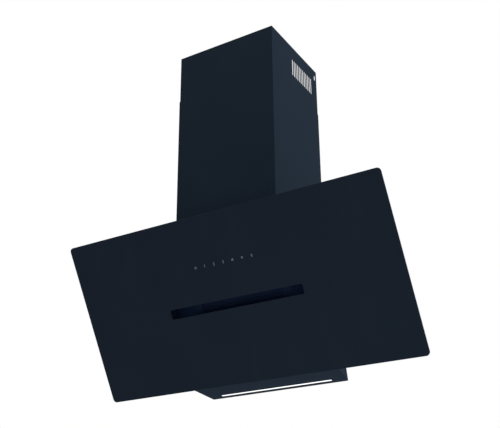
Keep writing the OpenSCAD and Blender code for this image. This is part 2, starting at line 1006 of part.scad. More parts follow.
// Channel frame of the grease filter: its lip rests on the inner panel and two tongues at its
// foot hook behind the panel
module filter_frame() {
    back = panel_depth + filter_d;
    color([0.6, 0.61, 0.63])
        on_front()
            difference() {
                union() {
                    front_sheet(filter_w, filter_low, filter_low + filter_h,
                                panel_depth - filter_lip_t, panel_depth, filter_lip / 2);
                    front_sheet(cassette_w, cassette_low, cassette_high, panel_depth, back,
                                filter_wall);
                    for (side = [-1, 1])
                        translate([side * cassette_w / 4 - tongue_w / 2, latch_face,
                                   cassette_low - tongue_len])
                            cube([tongue_w, latch_t / 2, tongue_len + filter_wall]);
                }
                front_sheet(cassette_w - 2 * filter_wall, cassette_low + filter_wall,
                            cassette_high - filter_wall, panel_depth, back - filter_wall,
                            filter_wall / 2);
                front_sheet(cassette_w - 2 * filter_band, cassette_low + filter_band,
                            cassette_high - filter_band, panel_depth - filter_lip_t - over,
                            back + over, filter_wall);
                translate([-latch_nose_w / 2 - near, latch_face - near,
                           cassette_high - filter_wall - over])
                    cube([latch_nose_w + 2 * near, latch_t + 2 * near, filter_wall + 2 * over]);
                translate([-latch_grip_w / 2 - near, panel_depth - filter_lip_t - over,
                           latch_grip_low - latch_travel - near])
                    cube([latch_grip_w + 2 * near, filter_lip_t + 2 * over,
                          latch_grip_h + latch_travel + 2 * near]);
            }
}

// Layers of expanded aluminium in the filter, drawn as one perforated sheet
module filter_mesh() {
    sheet_w = cassette_w - 2 * filter_wall;
    sheet_low = cassette_low + filter_wall;
    sheet_high = cassette_high - filter_wall;
    open_w = cassette_w - 2 * filter_band;
    open_low = cassette_low + filter_band;
    open_h = cassette_high - filter_band - open_low;
    face = panel_depth + filter_d - filter_wall - mesh_t;
    pitch_x = open_w / mesh_cols;
    pitch_z = open_h / mesh_rows;
    color([0.45, 0.46, 0.48])
        on_front()
            difference() {
                front_sheet(sheet_w, sheet_low, sheet_high, face, face + mesh_t, filter_wall / 2);
                for (col = [0:mesh_cols - 1], row = [0:mesh_rows - 1])
                    translate([col * pitch_x - open_w / 2 + mesh_bar / 2, face - over,
                               open_low + row * pitch_z + mesh_bar / 2])
                        cube([pitch_x - mesh_bar, mesh_t + 2 * over, pitch_z - mesh_bar]);
            }
}

// Fixed bail for lifting the filter out
module filter_handle() {
    face = panel_depth - filter_lip_t;
    color([0.1, 0.1, 0.11])
        on_front()
            translate([0, face - handle_d, filter_low + filter_lip])
                difference() {
                    translate([-handle_w / 2, 0, 0])
                        cube([handle_w, handle_d, handle_h]);
                    translate([-handle_w / 2 + handle_bar, -over, handle_bar])
                        cube([handle_w - 2 * handle_bar, handle_d + 2 * over,
                              handle_h - 2 * handle_bar]);
                }
}

// Sprung sliding latch: a bolt inside the filter's frame whose nose hooks behind the panel
module filter_latch() {
    shoulder = cassette_high - filter_wall - near;
    nose_end = filter_low + filter_h - filter_lip + latch_nose;
    color([0.1, 0.1, 0.11])
        on_front() {
            translate([-latch_w / 2, latch_face, shoulder - latch_h])
                cube([latch_w, latch_t, latch_h]);
            translate([-latch_nose_w / 2, latch_face, shoulder - latch_h])
                cube([latch_nose_w, latch_t, nose_end - shoulder + latch_h]);
            translate([-latch_grip_w / 2, panel_depth - filter_lip_t - latch_grip_d,
                       latch_grip_low])
                cube([latch_grip_w, latch_face + latch_t - panel_depth + filter_lip_t
                      + latch_grip_d, latch_grip_h]);
        }
}

// Frosted strip in the underside
module lamp_diffuser() {
    color([1, 1, 1])
        on_underside() {
            lamp_block(lamp_w - 2 * near, lamp_d - 2 * near, lamp_back + near, 0, sheet_t,
                       lamp_corner - near);
            lamp_block(lamp_w + 2 * lamp_lip, lamp_d + 2 * lamp_lip, lamp_back - lamp_lip,
                       sheet_t, sheet_t + lamp_lip_t, lamp_corner);
        }
}

// Strip board of the lamp with its light-emitting diodes
module lamp_board() {
    low = sheet_t + lamp_lip_t + lamp_house_h - lamp_house_wall - lamp_board_t;
    board_w = lamp_w - 2 * lamp_board_margin;
    pitch = board_w / led_count;
    color([0.9, 0.9, 0.85])
        on_underside() {
            lamp_block(board_w, lamp_d - 2 * lamp_board_margin, lamp_back + lamp_board_margin,
                       low, low + lamp_board_t, lamp_board_t / 2);
            for (i = [0:led_count - 1])
                translate([(i + 1 / 2) * pitch - board_w / 2 - led_size / 2,
                           -lamp_back - lamp_d / 2 - led_size / 2, low - led_h])
                    cube([led_size, led_size, led_h]);
        }
}

// Channel over the lamp that carries its board
module lamp_housing() {
    low = sheet_t + lamp_lip_t;
    outer_w = lamp_w + 2 * lamp_lip;
    outer_d = lamp_d + 2 * lamp_lip;
    color([0.8, 0.8, 0.8])
        on_underside()
            difference() {
                lamp_block(outer_w, outer_d, lamp_back - lamp_lip, low, low + lamp_house_h,
                           lamp_corner);
                lamp_block(outer_w - 2 * lamp_house_wall, outer_d - 2 * lamp_house_wall,
                           lamp_back - lamp_lip + lamp_house_wall, low - over,
                           low + lamp_house_h - lamp_house_wall, lamp_corner / 2);
            }
}

// Outline of the scroll seen along X, grown by its wall
function scroll_outline(grow) = concat(
    [for (i = [0:scroll_steps]) scroll_point(i * scroll_turn / scroll_steps, grow)],
    [[-outlet_back + grow, scroll_top], [-outlet_front - grow, scroll_top]]
);

// One half of the blower's plastic scroll, from the middle plane to one side
module scroll_half_shell(side) {
    from = side > 0 ? 0 : -scroll_half - scroll_t;
    hollow_from = side > 0 ? -over : -scroll_half;
    difference() {
        union() {
            along_x(from, from + scroll_half + scroll_t)
                polygon(scroll_outline(scroll_t));
            flange_x = scroll_half + scroll_flange;
            translate([side > 0 ? 0 : -flange_x, -outlet_front - scroll_flange,
                       scroll_top - scroll_flange_t])
                cube([flange_x, outlet_front - outlet_back + 2 * scroll_flange,
                      scroll_flange_t]);
            for (turn = lug_turns)
                translate(lug_place(turn))
                    rod_x(lug_r, side > 0 ? 0 : -lug_len, side > 0 ? lug_len : 0);
        }
        along_x(hollow_from, hollow_from + scroll_half + over)
            polygon(scroll_outline(0));
        translate([side > 0 ? -over : -scroll_half, -outlet_front, scroll_top - over])
            cube([scroll_half + over, outlet_front - outlet_back, 2 * over]);
        for (place = blower_screw_places())
            translate([place[0], place[1], scroll_top - scroll_flange_t - over])
                cylinder(r = screw_r + screw_gap, h = scroll_flange_t + 2 * over);
        translate([0, blower_y, blower_z])
            rod_x(inlet_r, side * scroll_half - 2 * scroll_t, side * scroll_half + 2 * scroll_t);
        for (turn = lug_turns)
            translate(lug_place(turn))
                rod_x(small_r + screw_gap, -2 * lug_len, 2 * lug_len);
    }
}

function lug_place(turn) =
    let (spot = scroll_point(turn, scroll_t + lug_r)) [0, spot[0], spot[1]];

module scroll_left() {
    color([0.18, 0.18, 0.2])
        difference() {
            scroll_half_shell(-1);
            for (place = motor_mount_places())
                translate([0, place[0], place[1]])
                    rod_x(screw_r + screw_gap, -scroll_half - 2 * scroll_t, -scroll_half + over);
        }
}

module scroll_right() {
    color([0.18, 0.18, 0.2])
        scroll_half_shell(1);
}

module scroll_screws() {
    color("silver")
        for (turn = lug_turns)
            translate(lug_place(turn))
                translate([lug_len, 0, 0])
                    rotate([0, 90, 0])
                        small_screw(2 * lug_len - near);
}

function around_axis(r, turn) = [blower_y - r * cos(turn), blower_z + r * sin(turn)];
function motor_mount_places() = [for (turn = [90, 210, 330]) around_axis(mount_ring_r, turn)];
function motor_case_places() = [for (turn = [90, 210, 330]) around_axis(case_screw_r, turn)];

// Bladed wheel with its centre disc, two end rings and hub
module impeller() {
    color([0.15, 0.15, 0.17])
        translate([0, blower_y, blower_z])
            difference() {
                union() {
                    rod_x(impeller_r, -disc_t / 2, disc_t / 2);
                    rod_x(hub_r, hub_back, hub_front);
                    for (from = [-impeller_half, impeller_half - ring_w])
                        difference() {
                            rod_x(impeller_r, from, from + ring_w);
                            rod_x(impeller_r - ring_w, from - over, from + ring_w + over);
                        }
                    for (i = [0:blade_count - 1])
                        rotate([i * 360 / blade_count, 0, 0])
                            along_x(-impeller_half, impeller_half)
                                polygon(blade_outline());
                }
                rod_x(shaft_r, hub_back - over, hub_front + over);
            }
}

// Cross-section of a blade, bowed forwards between the inner and the outer radius
function blade_outline() =
    let (
        rim = impeller_r - ring_w / 3,
        mid = (blade_inner + rim) / 2,
        bow = blade_inner * sin(blade_lean) / 4
    )
    [
        [blade_inner, 0], [mid, bow], [rim * cos(blade_lean), rim * sin(blade_lean)],
        [(rim - blade_t) * cos(blade_lean), (rim - blade_t) * sin(blade_lean) + blade_t],
        [mid - blade_t / 2, bow + blade_t], [blade_inner, blade_t]
    ];

module motor_shaft() {
    color("silver")
        translate([0, blower_y, blower_z])
            rod_x(shaft_r, motor_back + motor_t, hub_front + shaft_r / 2);
}

module rotor_core() {
    color([0.4, 0.4, 0.42])
        translate([0, blower_y, blower_z])
            difference() {
                rod_x(rotor_r, core_back, core_front);
                rod_x(shaft_r, core_back - over, core_front + over);
            }
}

// Motor case: a can with a rear and a front shield, each with a boss round its bearing
module motor_case() {
    color([0.55, 0.56, 0.58])
        difference() {
            translate([0, blower_y, blower_z])
                difference() {
                    rod_x(motor_r, motor_back, motor_front);
                    difference() {
                        rod_x(motor_r - motor_t, motor_back + motor_t, motor_front - motor_t);
                        for (from = bearing_places())
                            rod_x(bearing_r + motor_t, from, from + bearing_w);
                    }
                    for (from = bearing_places())
                        rod_x(bearing_r, from, from + bearing_w);
                    rod_x(bearing_r - motor_t, bearing_places()[1], motor_front + over);
                }
            for (place = motor_case_places())
                translate([0, place[0], place[1]])
                    rod_x(small_r + screw_gap, motor_back - over, motor_back + motor_t + over);
        }
}

function bearing_places() = [motor_back + motor_t, motor_front - motor_t - bearing_w];

// Ring of coil packs fixed inside the motor's case
module stator() {
    color([0.6, 0.35, 0.15])
        translate([0, blower_y, blower_z])
            difference() {
                rod_x(motor_r - motor_t - run_gap, core_back, core_front);
                rod_x(stator_bore, core_back - over, core_front + over);
            }
}

module motor_bearings() {
    color("silver")
        translate([0, blower_y, blower_z])
            for (from = bearing_places())
                difference() {
                    rod_x(bearing_r, from, from + bearing_w);
                    rod_x(shaft_r + run_gap, from - over, from + bearing_w + over);
                }
}

// Three-armed plate that hangs the motor in the scroll's inlet
module motor_bracket() {
    color([0.5, 0.5, 0.52])
        difference() {
            union() {
                translate([0, blower_y, blower_z])
                    rod_x(bracket_disc_r, motor_back - bracket_t, motor_back);
                for (place = motor_mount_places()) {
                    reach = [place[0] - blower_y, place[1] - blower_z];
                    translate([motor_back - bracket_t, blower_y, blower_z])
                        rotate([atan2(reach[1], reach[0]), 0, 0])
                            translate([0, 0, -bracket_arm_w / 2])
                                cube([bracket_t, mount_ring_r, bracket_arm_w]);
                    translate([0, place[0], place[1]])
                        rod_x(bracket_end_r, motor_back - bracket_t, motor_back);
                }
            }
            for (place = motor_mount_places())
                translate([0, place[0], place[1]])
                    rod_x(screw_r + screw_gap, motor_back - bracket_t - over, motor_back + over);
            for (place = motor_case_places())
                translate([0, place[0], place[1]])
                    rod_x(small_r + screw_gap, motor_back - bracket_t - over, motor_back + over);
            translate([0, blower_y, blower_z])
                rod_x(bearing_r, motor_back - bracket_t - over, motor_back + over);
        }
}

// Rubber rings between the bracket and the scroll
module motor_grommets() {
    color([0.05, 0.05, 0.05])
        for (place = motor_mount_places())
            translate([0, place[0], place[1]])
                difference() {
                    rod_x(grommet_r, motor_back, -scroll_half - scroll_t);
                    rod_x(screw_r + screw_gap, motor_back - over, -scroll_half);
                }
}

module motor_screws() {
    color("silver") {
        for (place = motor_mount_places())
            translate([motor_back - bracket_t, place[0], place[1]])
                rotate([0, -90, 0])
                    sheet_screw(bracket_t + grommet_h + scroll_t);
        for (place = motor_case_places())
            translate([motor_back - bracket_t, place[0], place[1]])
                rotate([0, -90, 0])
                    small_screw(bracket_t + motor_t);
    }
}

// Foam frame between the scroll's outlet and the housing's top
module outlet_gasket() {
    full_x = scroll_half + scroll_flange;
    color([0.12, 0.12, 0.12])
        difference() {
            translate([-full_x, -outlet_front - scroll_flange, scroll_top])
                cube([2 * full_x, outlet_front - outlet_back + 2 * scroll_flange, gasket_t]);
            translate([-scroll_half, -outlet_front, scroll_top - over])
                cube([2 * scroll_half, outlet_front - outlet_back, gasket_t + 2 * over]);
            for (place = blower_screw_places())
                translate([place[0], place[1], scroll_top - over])
                    cylinder(r = screw_r + screw_gap, h = gasket_t + 2 * over);
        }
}

// Box and round spigot that lead the air from the blower into the duct
module outlet_collar() {
    box_d = collar_box_front - collar_box_back;
    ledge_top = flap_z - flap_t / 2 - near;
    color([0.16, 0.16, 0.18])
        difference() {
            union() {
                translate([-collar_box_x, -collar_box_front, body_top])
                    cube([2 * collar_box_x, box_d, collar_box_h]);
                translate([-collar_box_x - collar_tab, -collar_box_front, body_top])
                    cube([2 * (collar_box_x + collar_tab), box_d, collar_tab_t]);
                translate([0, -collar_u, body_top])
                    cylinder(r = duct_r, h = collar_box_h + duct_len);
            }
            difference() {
                union() {
                    translate([-collar_box_x + collar_wall, -collar_box_front + collar_wall,
                               body_top - over])
                        cube([2 * (collar_box_x - collar_wall), box_d - 2 * collar_wall,
                              collar_box_h - collar_wall + over]);
                    translate([0, -collar_u, body_top])
                        cylinder(r = duct_r - collar_wall, h = collar_box_h + duct_len + over);
                }
                translate([0, -collar_u, ledge_top - collar_wall])
                    difference() {
                        cylinder(r = duct_r, h = collar_wall);
                        translate([0, 0, -over])
                            cylinder(r = duct_r - collar_wall - ledge_w,
                                     h = collar_wall + 2 * over);
                    }
            }
            for (side = [-1, 1])
                translate([0, side * flap_offset - collar_u, flap_z])
                    rod_x(flap_pin_r, -duct_r - over, duct_r + over);
            for (place = collar_screw_places())
                translate([place[0], place[1], body_top - over])
                    cylinder(r = screw_r + screw_gap, h = collar_tab_t + 2 * over);
        }
}

// One half-round flap, hinged near the middle of the spigot; side is -1 towards the front
module flap(side) {
    flap_r = duct_r - collar_wall - flap_gap;
    axis_y = side * flap_offset - collar_u;
    color([0.2, 0.2, 0.22])
        difference() {
            union() {
                intersection() {
                    translate([0, -collar_u, flap_z - flap_t / 2])
                        cylinder(r = flap_r, h = flap_t);
                    translate([-flap_r, side > 0 ? axis_y : axis_y - flap_r, flap_z - flap_t])
                        cube([2 * flap_r, flap_r, 2 * flap_t]);
                }
                translate([0, axis_y, flap_z])
                    rod_x(flap_knuckle_r, -flap_half, flap_half);
            }
            translate([0, axis_y, flap_z])
                rod_x(flap_pin_r + run_gap, -duct_r, duct_r);
        }
}

module flap_front() {
    flap(-1);
}

module flap_back() {
    flap(1);
}

module flap_pins() {
    reach = duct_r - collar_wall / 2;
    color("silver")
        for (side = [-1, 1])
            translate([0, side * flap_offset - collar_u, flap_z])
                rod_x(flap_pin_r, -reach, reach);
}

function collar_screw_places() = [
    for (side = [-1, 1], u = collar_screw_u) [side * (collar_box_x + collar_tab / 2), -u]
];
function blower_screw_places() = [
    for (side = [-1, 1], end = [-1, 1])
        [side * (scroll_half + scroll_flange / 2),
         -(outlet_back + outlet_front) / 2 + end * (outlet_front - outlet_back) / 3]
];
function foot_screw_places() = [
    for (side = [-1, 1], y = foot_screw_y)
        [side * (chimney_w / 2 - chimney_t - foot_flange / 2), y]
];
function bumper_places() = [
    for (side = [-1, 1]) [side * bumper_x, tray_low + tray_lip / 2],
    for (side = [-1, 1]) [side * bumper_top_x, tray_high - tray_lip / 2]
];

// Screws in the housing's top: duct collar, blower and chimney foot
module top_screws() {
    color("silver") {
        for (place = collar_screw_places())
            translate([place[0], place[1], body_top + collar_tab_t])
                sheet_screw(collar_tab_t + 2 * gasket_t);
        for (place = blower_screw_places())
            translate([place[0], place[1], body_top])
                sheet_screw(sheet_t + gasket_t + scroll_flange_t + over);
        for (place = foot_screw_places())
            translate([place[0], place[1], body_top + chimney_t])
                sheet_screw(chimney_t + sheet_t + gasket_t);
    }
}

// An open box against the back panel, its mouth towards the front
module wall_box(x, z, w, h, d) {
    translate([x, -sheet_t - d, z])
        difference() {
            cube([w, d, h]);
            translate([box_wall, -over, box_wall])
                cube([w - 2 * box_wall, d - box_wall + over, h - 2 * box_wall]);
        }
}

// Plastic box of the main electronics, with four posts for the board
module control_box() {
    color([0.3, 0.3, 0.32]) {
        wall_box(control_x, control_z, control_w, control_h, control_d);
        for (x = [post_inset, control_w - post_inset], z = [post_inset, control_h - post_inset])
            translate([control_x + x, -sheet_t - box_wall, control_z + z])
                rotate([90, 0, 0])
                    cylinder(r = post_r, h = power_up);
    }
}

module control_cover() {
    color([0.35, 0.35, 0.37])
        translate([control_x, -sheet_t - control_d - box_wall, control_z])
            cube([control_w, box_wall, control_h]);
}

// Main circuit board with its transformer, relays and terminals
module power_board() {
    face = -sheet_t - box_wall - power_up - power_t;
    margin = box_wall + near;
    color([0.1, 0.4, 0.2])
        translate([control_x, face, control_z]) {
            translate([margin, 0, margin])
                cube([control_w - 2 * margin, power_t, control_h - 2 * margin]);
            translate([transformer_x, -transformer_d, transformer_z])
                cube([transformer_w, transformer_d, transformer_h]);
            for (i = [0:relay_count - 1])
                translate([relay_x + i * relay_pitch, -relay_d, relay_z])
                    cube([relay_w, relay_d, relay_h]);
        }
}

// Run capacitor of the motor, standing on the back panel
module capacitor() {
    color([0.85, 0.85, 0.82])
        translate([cap_x, -sheet_t, cap_z]) {
            rotate([90, 0, 0])
                cylinder(r = cap_r, h = cap_h);
            for (side = [-1, 1])
                translate([side * cap_r / 2 - box_wall / 2, -cap_h - cap_tab, -cap_tab / 2])
                    cube([box_wall / 2, cap_tab, cap_tab]);
        }
}

module terminal_box() {
    color([0.3, 0.3, 0.32])
        wall_box(terminal_x, terminal_z, terminal_w, terminal_h, terminal_d);
}

module terminal_cover() {
    color([0.35, 0.35, 0.37])
        translate([terminal_x, -sheet_t - terminal_d - box_wall, terminal_z])
            cube([terminal_w, box_wall, terminal_h]);
}

// Gland for the mains lead in the housing's top
module cable_gland() {
    neck = gland_r - gland_seat - screw_gap;
    color([0.08, 0.08, 0.08])
        translate([gland_x, gland_y, 0])
            difference() {
                union() {
                    translate([0, 0, body_top])
                        cylinder(r = gland_r, h = gland_h);
                    translate([0, 0, body_top - sheet_t - gland_h])
                        cylinder(r = neck, h = sheet_t + 2 * gland_h);
                    translate([0, 0, body_top - sheet_t - gland_h])
                        cylinder(r = gland_r, h = gland_h, $fn = 6);
                }
                translate([0, 0, body_top - sheet_t - gland_h - over])
                    cylinder(r = gland_bore, h = sheet_t + 2 * gland_h + 2 * over);
            }
}

// A round lead that runs straight from point to point
module lead(points) {
    for (i = [1:len(points) - 1]) {
        d = points[i] - points[i - 1];
        translate(points[i - 1])
            rotate([0, acos(d[2] / norm(d)), atan2(d[1], d[0])])
                cylinder(r = lead_r, h = norm(d));
        if (i < len(points) - 1)
            translate(points[i])
                sphere(r = lead_r);
    }
}

// Leads between the control box, the motor, the lamp and the mains terminals
module wiring() {
    lead_y = -sheet_t - control_d / 2;
    motor_x = control_x + control_w * 2 / 3;
    lamp_x = control_x + control_w / 2;
    lamp_y = -lamp_back - lamp_d / 2;
    lamp_z = (lead_r - lamp_y) * rise_tan + (sheet_t + lamp_lip_t + lamp_house_h) / rise_cos;
    mains_z = terminal_z + terminal_h / 2;
    color([0.1, 0.1, 0.12]) {
        lead([[motor_x, lead_y, control_z + control_h], [motor_x, lead_y, blower_z],
              [motor_x, blower_y, blower_z], [motor_back, blower_y, blower_z]]);
        lead([[lamp_x, lamp_y, control_z], [lamp_x, lamp_y, lamp_z]]);
        lead([[control_x + control_w, lead_y, mains_z], [terminal_x, lead_y, mains_z]]);
    }
}

// Two hooks screwed to the wall; the back panel's windows hang on them
module wall_hooks() {
    color("silver")
        for (side = [-1, 1])
            translate([side * hook_x, 0, hook_z])
                difference() {
                    union() {
                        translate([-hook_w / 2, -hook_t, -hook_h / 2])
                            cube([hook_w, hook_t, hook_h]);
                        translate([-hook_w / 2, -hook_t, -hook_h / 2])
                            cube([hook_w, hook_lip_t, hook_h + hook_lip]);
                    }
                    translate([0, over, -hook_h / 4])
                        rotate([90, 0, 0])
                            cylinder(r = hook_hole_r, h = hook_t + 2 * over);
                }
}

// Folded sheet round three sides, open towards the wall
module chimney_sheet(w, d, low, high) {
    difference() {
        translate([-w / 2, -d, low])
            cube([w, d, high - low]);
        translate([chimney_t - w / 2, chimney_t - d, low - over])
            cube([w - 2 * chimney_t, d, high - low + 2 * over]);
    }
}

// Lower chimney, standing on the housing on an inturned foot
module lower_chimney() {
    inner_w = chimney_w - 2 * chimney_t;
    inner_d = chimney_d - chimney_t;
    color([0.12, 0.15, 0.19]) {
        chimney_sheet(chimney_w, chimney_d, body_top, lower_top);
        difference() {
            translate([-inner_w / 2, -inner_d, body_top])
                cube([inner_w, inner_d, chimney_t]);
            translate([foot_flange - inner_w / 2, foot_flange - inner_d, body_top - over])
                cube([inner_w - 2 * foot_flange, inner_d, chimney_t + 2 * over]);
            for (place = foot_screw_places())
                translate([place[0], place[1], body_top - over])
                    cylinder(r = screw_r + screw_gap, h = chimney_t + 2 * over);
        }
    }
}

// Upper chimney, sliding inside the lower one, with its vents and screw slots
module upper_chimney() {
    color([0.13, 0.16, 0.2])
        difference() {
            chimney_sheet(upper_w, upper_d, upper_top - upper_len, upper_top);
            for (i = [0:vent_count - 1])
                along_x(-upper_w, upper_w)
                    translate([-vent_back - vent_w / 2 - i * vent_pitch,
                               upper_top - vent_down - vent_h / 2])
                        round_slot(vent_w, vent_h);
            along_x(-upper_w, upper_w)
                translate([-side_slot_back, upper_top - side_slot_down])
                    round_slot(side_slot_w, side_slot_h);
        }
}

glass_panel();
control_symbols();
door_tray();
touch_carrier();
touch_board();
touch_pads();
touch_cover();
touch_screws();
hinge_door_left();
hinge_door_right();
hinge_door_screws();
hinge_body_left();
hinge_body_right();
hinge_body_screws();
hinge_pins();
back_panel();
top_panel();
bottom_panel();
side_panel_left();
side_panel_right();
front_rim();
front_panel();
catch_magnets();
door_bumpers();
filter_frame();
filter_mesh();
filter_handle();
filter_latch();
lamp_diffuser();
lamp_board();
lamp_housing();
scroll_left();
scroll_right();
scroll_screws();
impeller();
motor_shaft();
rotor_core();
motor_case();
stator();
motor_bearings();
motor_bracket();
motor_grommets();
motor_screws();
outlet_gasket();
outlet_collar();
flap_front();
flap_back();
flap_pins();
top_screws();
control_box();
control_cover();
power_board();
capacitor();
terminal_box();
terminal_cover();
cable_gland();
wiring();
wall_hooks();
lower_chimney();
upper_chimney();
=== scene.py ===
import json
import math

import bmesh
import bpy
from mathutils import Euler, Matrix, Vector

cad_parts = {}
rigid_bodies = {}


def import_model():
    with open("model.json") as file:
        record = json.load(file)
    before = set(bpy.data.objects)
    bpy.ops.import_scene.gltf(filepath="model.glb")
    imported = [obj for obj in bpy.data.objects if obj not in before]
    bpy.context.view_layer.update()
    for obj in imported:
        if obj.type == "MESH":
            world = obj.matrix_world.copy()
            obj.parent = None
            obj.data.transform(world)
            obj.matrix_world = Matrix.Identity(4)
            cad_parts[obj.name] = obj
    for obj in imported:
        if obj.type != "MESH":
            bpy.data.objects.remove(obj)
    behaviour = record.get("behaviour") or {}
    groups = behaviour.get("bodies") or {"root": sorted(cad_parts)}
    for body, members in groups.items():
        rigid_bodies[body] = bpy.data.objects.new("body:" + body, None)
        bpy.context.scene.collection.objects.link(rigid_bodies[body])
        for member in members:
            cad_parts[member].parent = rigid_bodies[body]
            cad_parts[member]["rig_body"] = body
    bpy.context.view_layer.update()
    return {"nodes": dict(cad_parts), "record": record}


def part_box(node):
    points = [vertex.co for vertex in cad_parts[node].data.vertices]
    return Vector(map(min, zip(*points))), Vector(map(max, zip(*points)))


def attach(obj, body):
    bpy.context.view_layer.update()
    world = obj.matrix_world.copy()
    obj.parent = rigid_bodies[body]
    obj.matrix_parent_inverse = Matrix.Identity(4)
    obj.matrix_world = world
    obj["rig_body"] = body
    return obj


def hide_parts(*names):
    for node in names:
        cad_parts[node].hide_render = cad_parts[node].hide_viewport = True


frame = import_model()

nodes = frame["nodes"]
bodyOf = {name: node["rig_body"] for name, node in nodes.items()}
slotOf = {entry["node"]: entry["material_slot"] for entry in frame["record"]["subparts"]}
mm = 0.001

# lean of the glass front, which everything on it follows
slope = {"lean": math.radians(30.8), "foot": 110 * mm}
inwards = Vector((0, math.cos(slope["lean"]), math.sin(slope["lean"])))
upSlope = Vector((0, -math.sin(slope["lean"]), math.cos(slope["lean"])))


def onFront(x, depth, up):  # a place measured behind the glass and up its slope
    return Vector((x, -slope["foot"], 0)) + inwards * depth + upSlope * up


def newObject(name, data):
    made = bpy.data.objects.new(name, data)
    bpy.context.scene.collection.objects.link(made)
    return made


def newMesh(name, places=(), edges=(), faces=()):
    mesh = bpy.data.meshes.new(name)
    mesh.from_pydata([tuple(place) for place in places], edges, faces)
    return mesh


def asMesh(shape, name):  # a bmesh shape as a plain mesh
    mesh = bpy.data.meshes.new(name)
    shape.to_mesh(mesh)
    shape.free()
    return mesh


def link(tree, source, target):
    tree.links.new(source, target)


def step(tree, kind, values=None, **settings):  # one node with its sockets filled or linked
    node = tree.nodes.new(kind)
    for label, setting in settings.items():
        setattr(node, label, setting)
    for label, value in (values or {}).items():
        if isinstance(value, bpy.types.NodeSocket):
            link(tree, value, node.inputs[label])
        else:
            node.inputs[label].default_value = value
    return node


def reckon(tree, operation, *values):  # a Math node on sockets and numbers
    return step(tree, "ShaderNodeMath", dict(enumerate(values)), operation=operation).outputs[0]


def times(tree, first, second):
    return reckon(tree, "MULTIPLY", first, second)


def over(tree, first, second):
    return reckon(tree, "DIVIDE", first, second)


print("frame loaded,", len(nodes), "nodes")

# camera as the photograph was taken, from low down on the right
photoCamera = {
    "place": (1.06905, -1.95820, -0.53743),
    "turn": (113.6776, -0.0901, 31.9011),
    "lens": 63.247,
    "shift": (0.04328, 0.03975),
}


def setCamera():
    data = bpy.data.cameras.new("photoCamera")
    data.lens = photoCamera["lens"]
    data.shift_x, data.shift_y = photoCamera["shift"]
    camera = newObject("photoCamera", data)
    camera.location = photoCamera["place"]
    camera.rotation_euler = Euler([math.radians(turn) for turn in photoCamera["turn"]])
    bpy.context.scene.camera = camera


# room: pale floor, white surroundings, four soft lamps
studio = {
    "glow": 0.77,  # light from all round
    "backdrop": (1.0, 1.0, 1.0, 1.0),
    "floorDrop": 1.5,  # the hood hangs this far above the floor
    "floorSize": 30.0,
    "floor": {"Base Color": (0.86, 0.87, 0.88, 1.0), "Roughness": 0.9, "Specular IOR Level": 0.1},
    "lamps": [
        {"name": "rightHigh", "place": (3.2, 0.1, 2.4), "aim": (0, -0.13, 0.75), "size": 1.8, "watts": 170},
        {"name": "topFront", "place": (-0.2, -1.3, 2.2), "aim": (0, -0.26, 0.9), "size": 1.0, "watts": 18.8},
        {"name": "lowRear", "place": (0.3, 1.0, -1.2), "aim": (0, -0.1, 0), "size": 1.0, "watts": 17},
        {"name": "frontRight", "place": (1.8, -2.6, -0.2), "aim": (0.3, -0.2, 0.1), "size": 1.2, "watts": 7.3},
    ],
}


def newFinish(name, fixed):
    made = bpy.data.materials.new(name)
    made.use_nodes = True
    shader = made.node_tree.nodes["Principled BSDF"]
    for label, value in fixed.items():
        shader.inputs[label].default_value = value
    return made, made.node_tree, shader.inputs


def setStudio():
    world = bpy.data.worlds.new("studio")
    world.use_nodes = True
    tree = world.node_tree
    tree.nodes.clear()
    path = tree.nodes.new("ShaderNodeLightPath").outputs  # white for what camera, gloss and glass see directly
    seen = path["Is Camera Ray"]
    for ray in ("Is Glossy Ray", "Is Transmission Ray"):
        seen = reckon(tree, "MAXIMUM", seen, path[ray])
    glow = step(tree, "ShaderNodeBackground", {"Strength": studio["glow"]}).outputs[0]
    shown = step(tree, "ShaderNodeBackground", {"Color": studio["backdrop"]}).outputs[0]
    mix = step(tree, "ShaderNodeMixShader", {0: seen, 1: glow, 2: shown}).outputs[0]
    step(tree, "ShaderNodeOutputWorld", {"Surface": mix})
    bpy.context.scene.world = world

    half = studio["floorSize"] / 2
    corners = [(x * half, y * half, -studio["floorDrop"]) for x, y in ((-1, -1), (1, -1), (1, 1), (-1, 1))]
    floor = newObject("floor", newMesh("floor", corners, faces=[(0, 1, 2, 3)]))
    floor.data.materials.append(newFinish("paleFloor", studio["floor"])[0])

    for lamp in studio["lamps"]:
        data = bpy.data.lights.new(lamp["name"], "AREA")
        data.shape, data.size, data.energy = "SQUARE", lamp["size"], lamp["watts"]
        light = newObject(lamp["name"], data)
        light.location = lamp["place"]
        light.rotation_euler = (Vector(lamp["aim"]) - Vector(lamp["place"])).to_track_quat("-Z", "Y").to_euler()
    bpy.context.scene.view_settings.view_transform = "Standard"


setCamera()
setStudio()
print("camera and studio set")


# shader groups: effects that several finishes share
effects = {}


def newGroup(name, inputs, outputs):
    group = effects[name] = bpy.data.node_groups.new(name, "ShaderNodeTree")
    for label, value in inputs.items():
        kind = "NodeSocketVector" if isinstance(value, tuple) else "NodeSocketFloat"
        group.interface.new_socket(label, in_out="INPUT", socket_type=kind).default_value = value
    for label in outputs:
        group.interface.new_socket(label, in_out="OUTPUT", socket_type="NodeSocketFloat")
    return group, group.nodes.new("NodeGroupInput").outputs, group.nodes.new("NodeGroupOutput").inputs


def onObject(tree):
    return tree.nodes.new("ShaderNodeTexCoord").outputs["Object"]


def noise(tree, scale, detail, vector=None):
    vector = onObject(tree) if vector is None else vector
    return step(tree, "ShaderNodeTexNoise", {"Scale": scale, "Detail": detail, "Vector": vector}).outputs[0]


def cells(tree, scale, **settings):
    return step(tree, "ShaderNodeTexVoronoi", {"Scale": scale, "Vector": onObject(tree)}, **settings).outputs


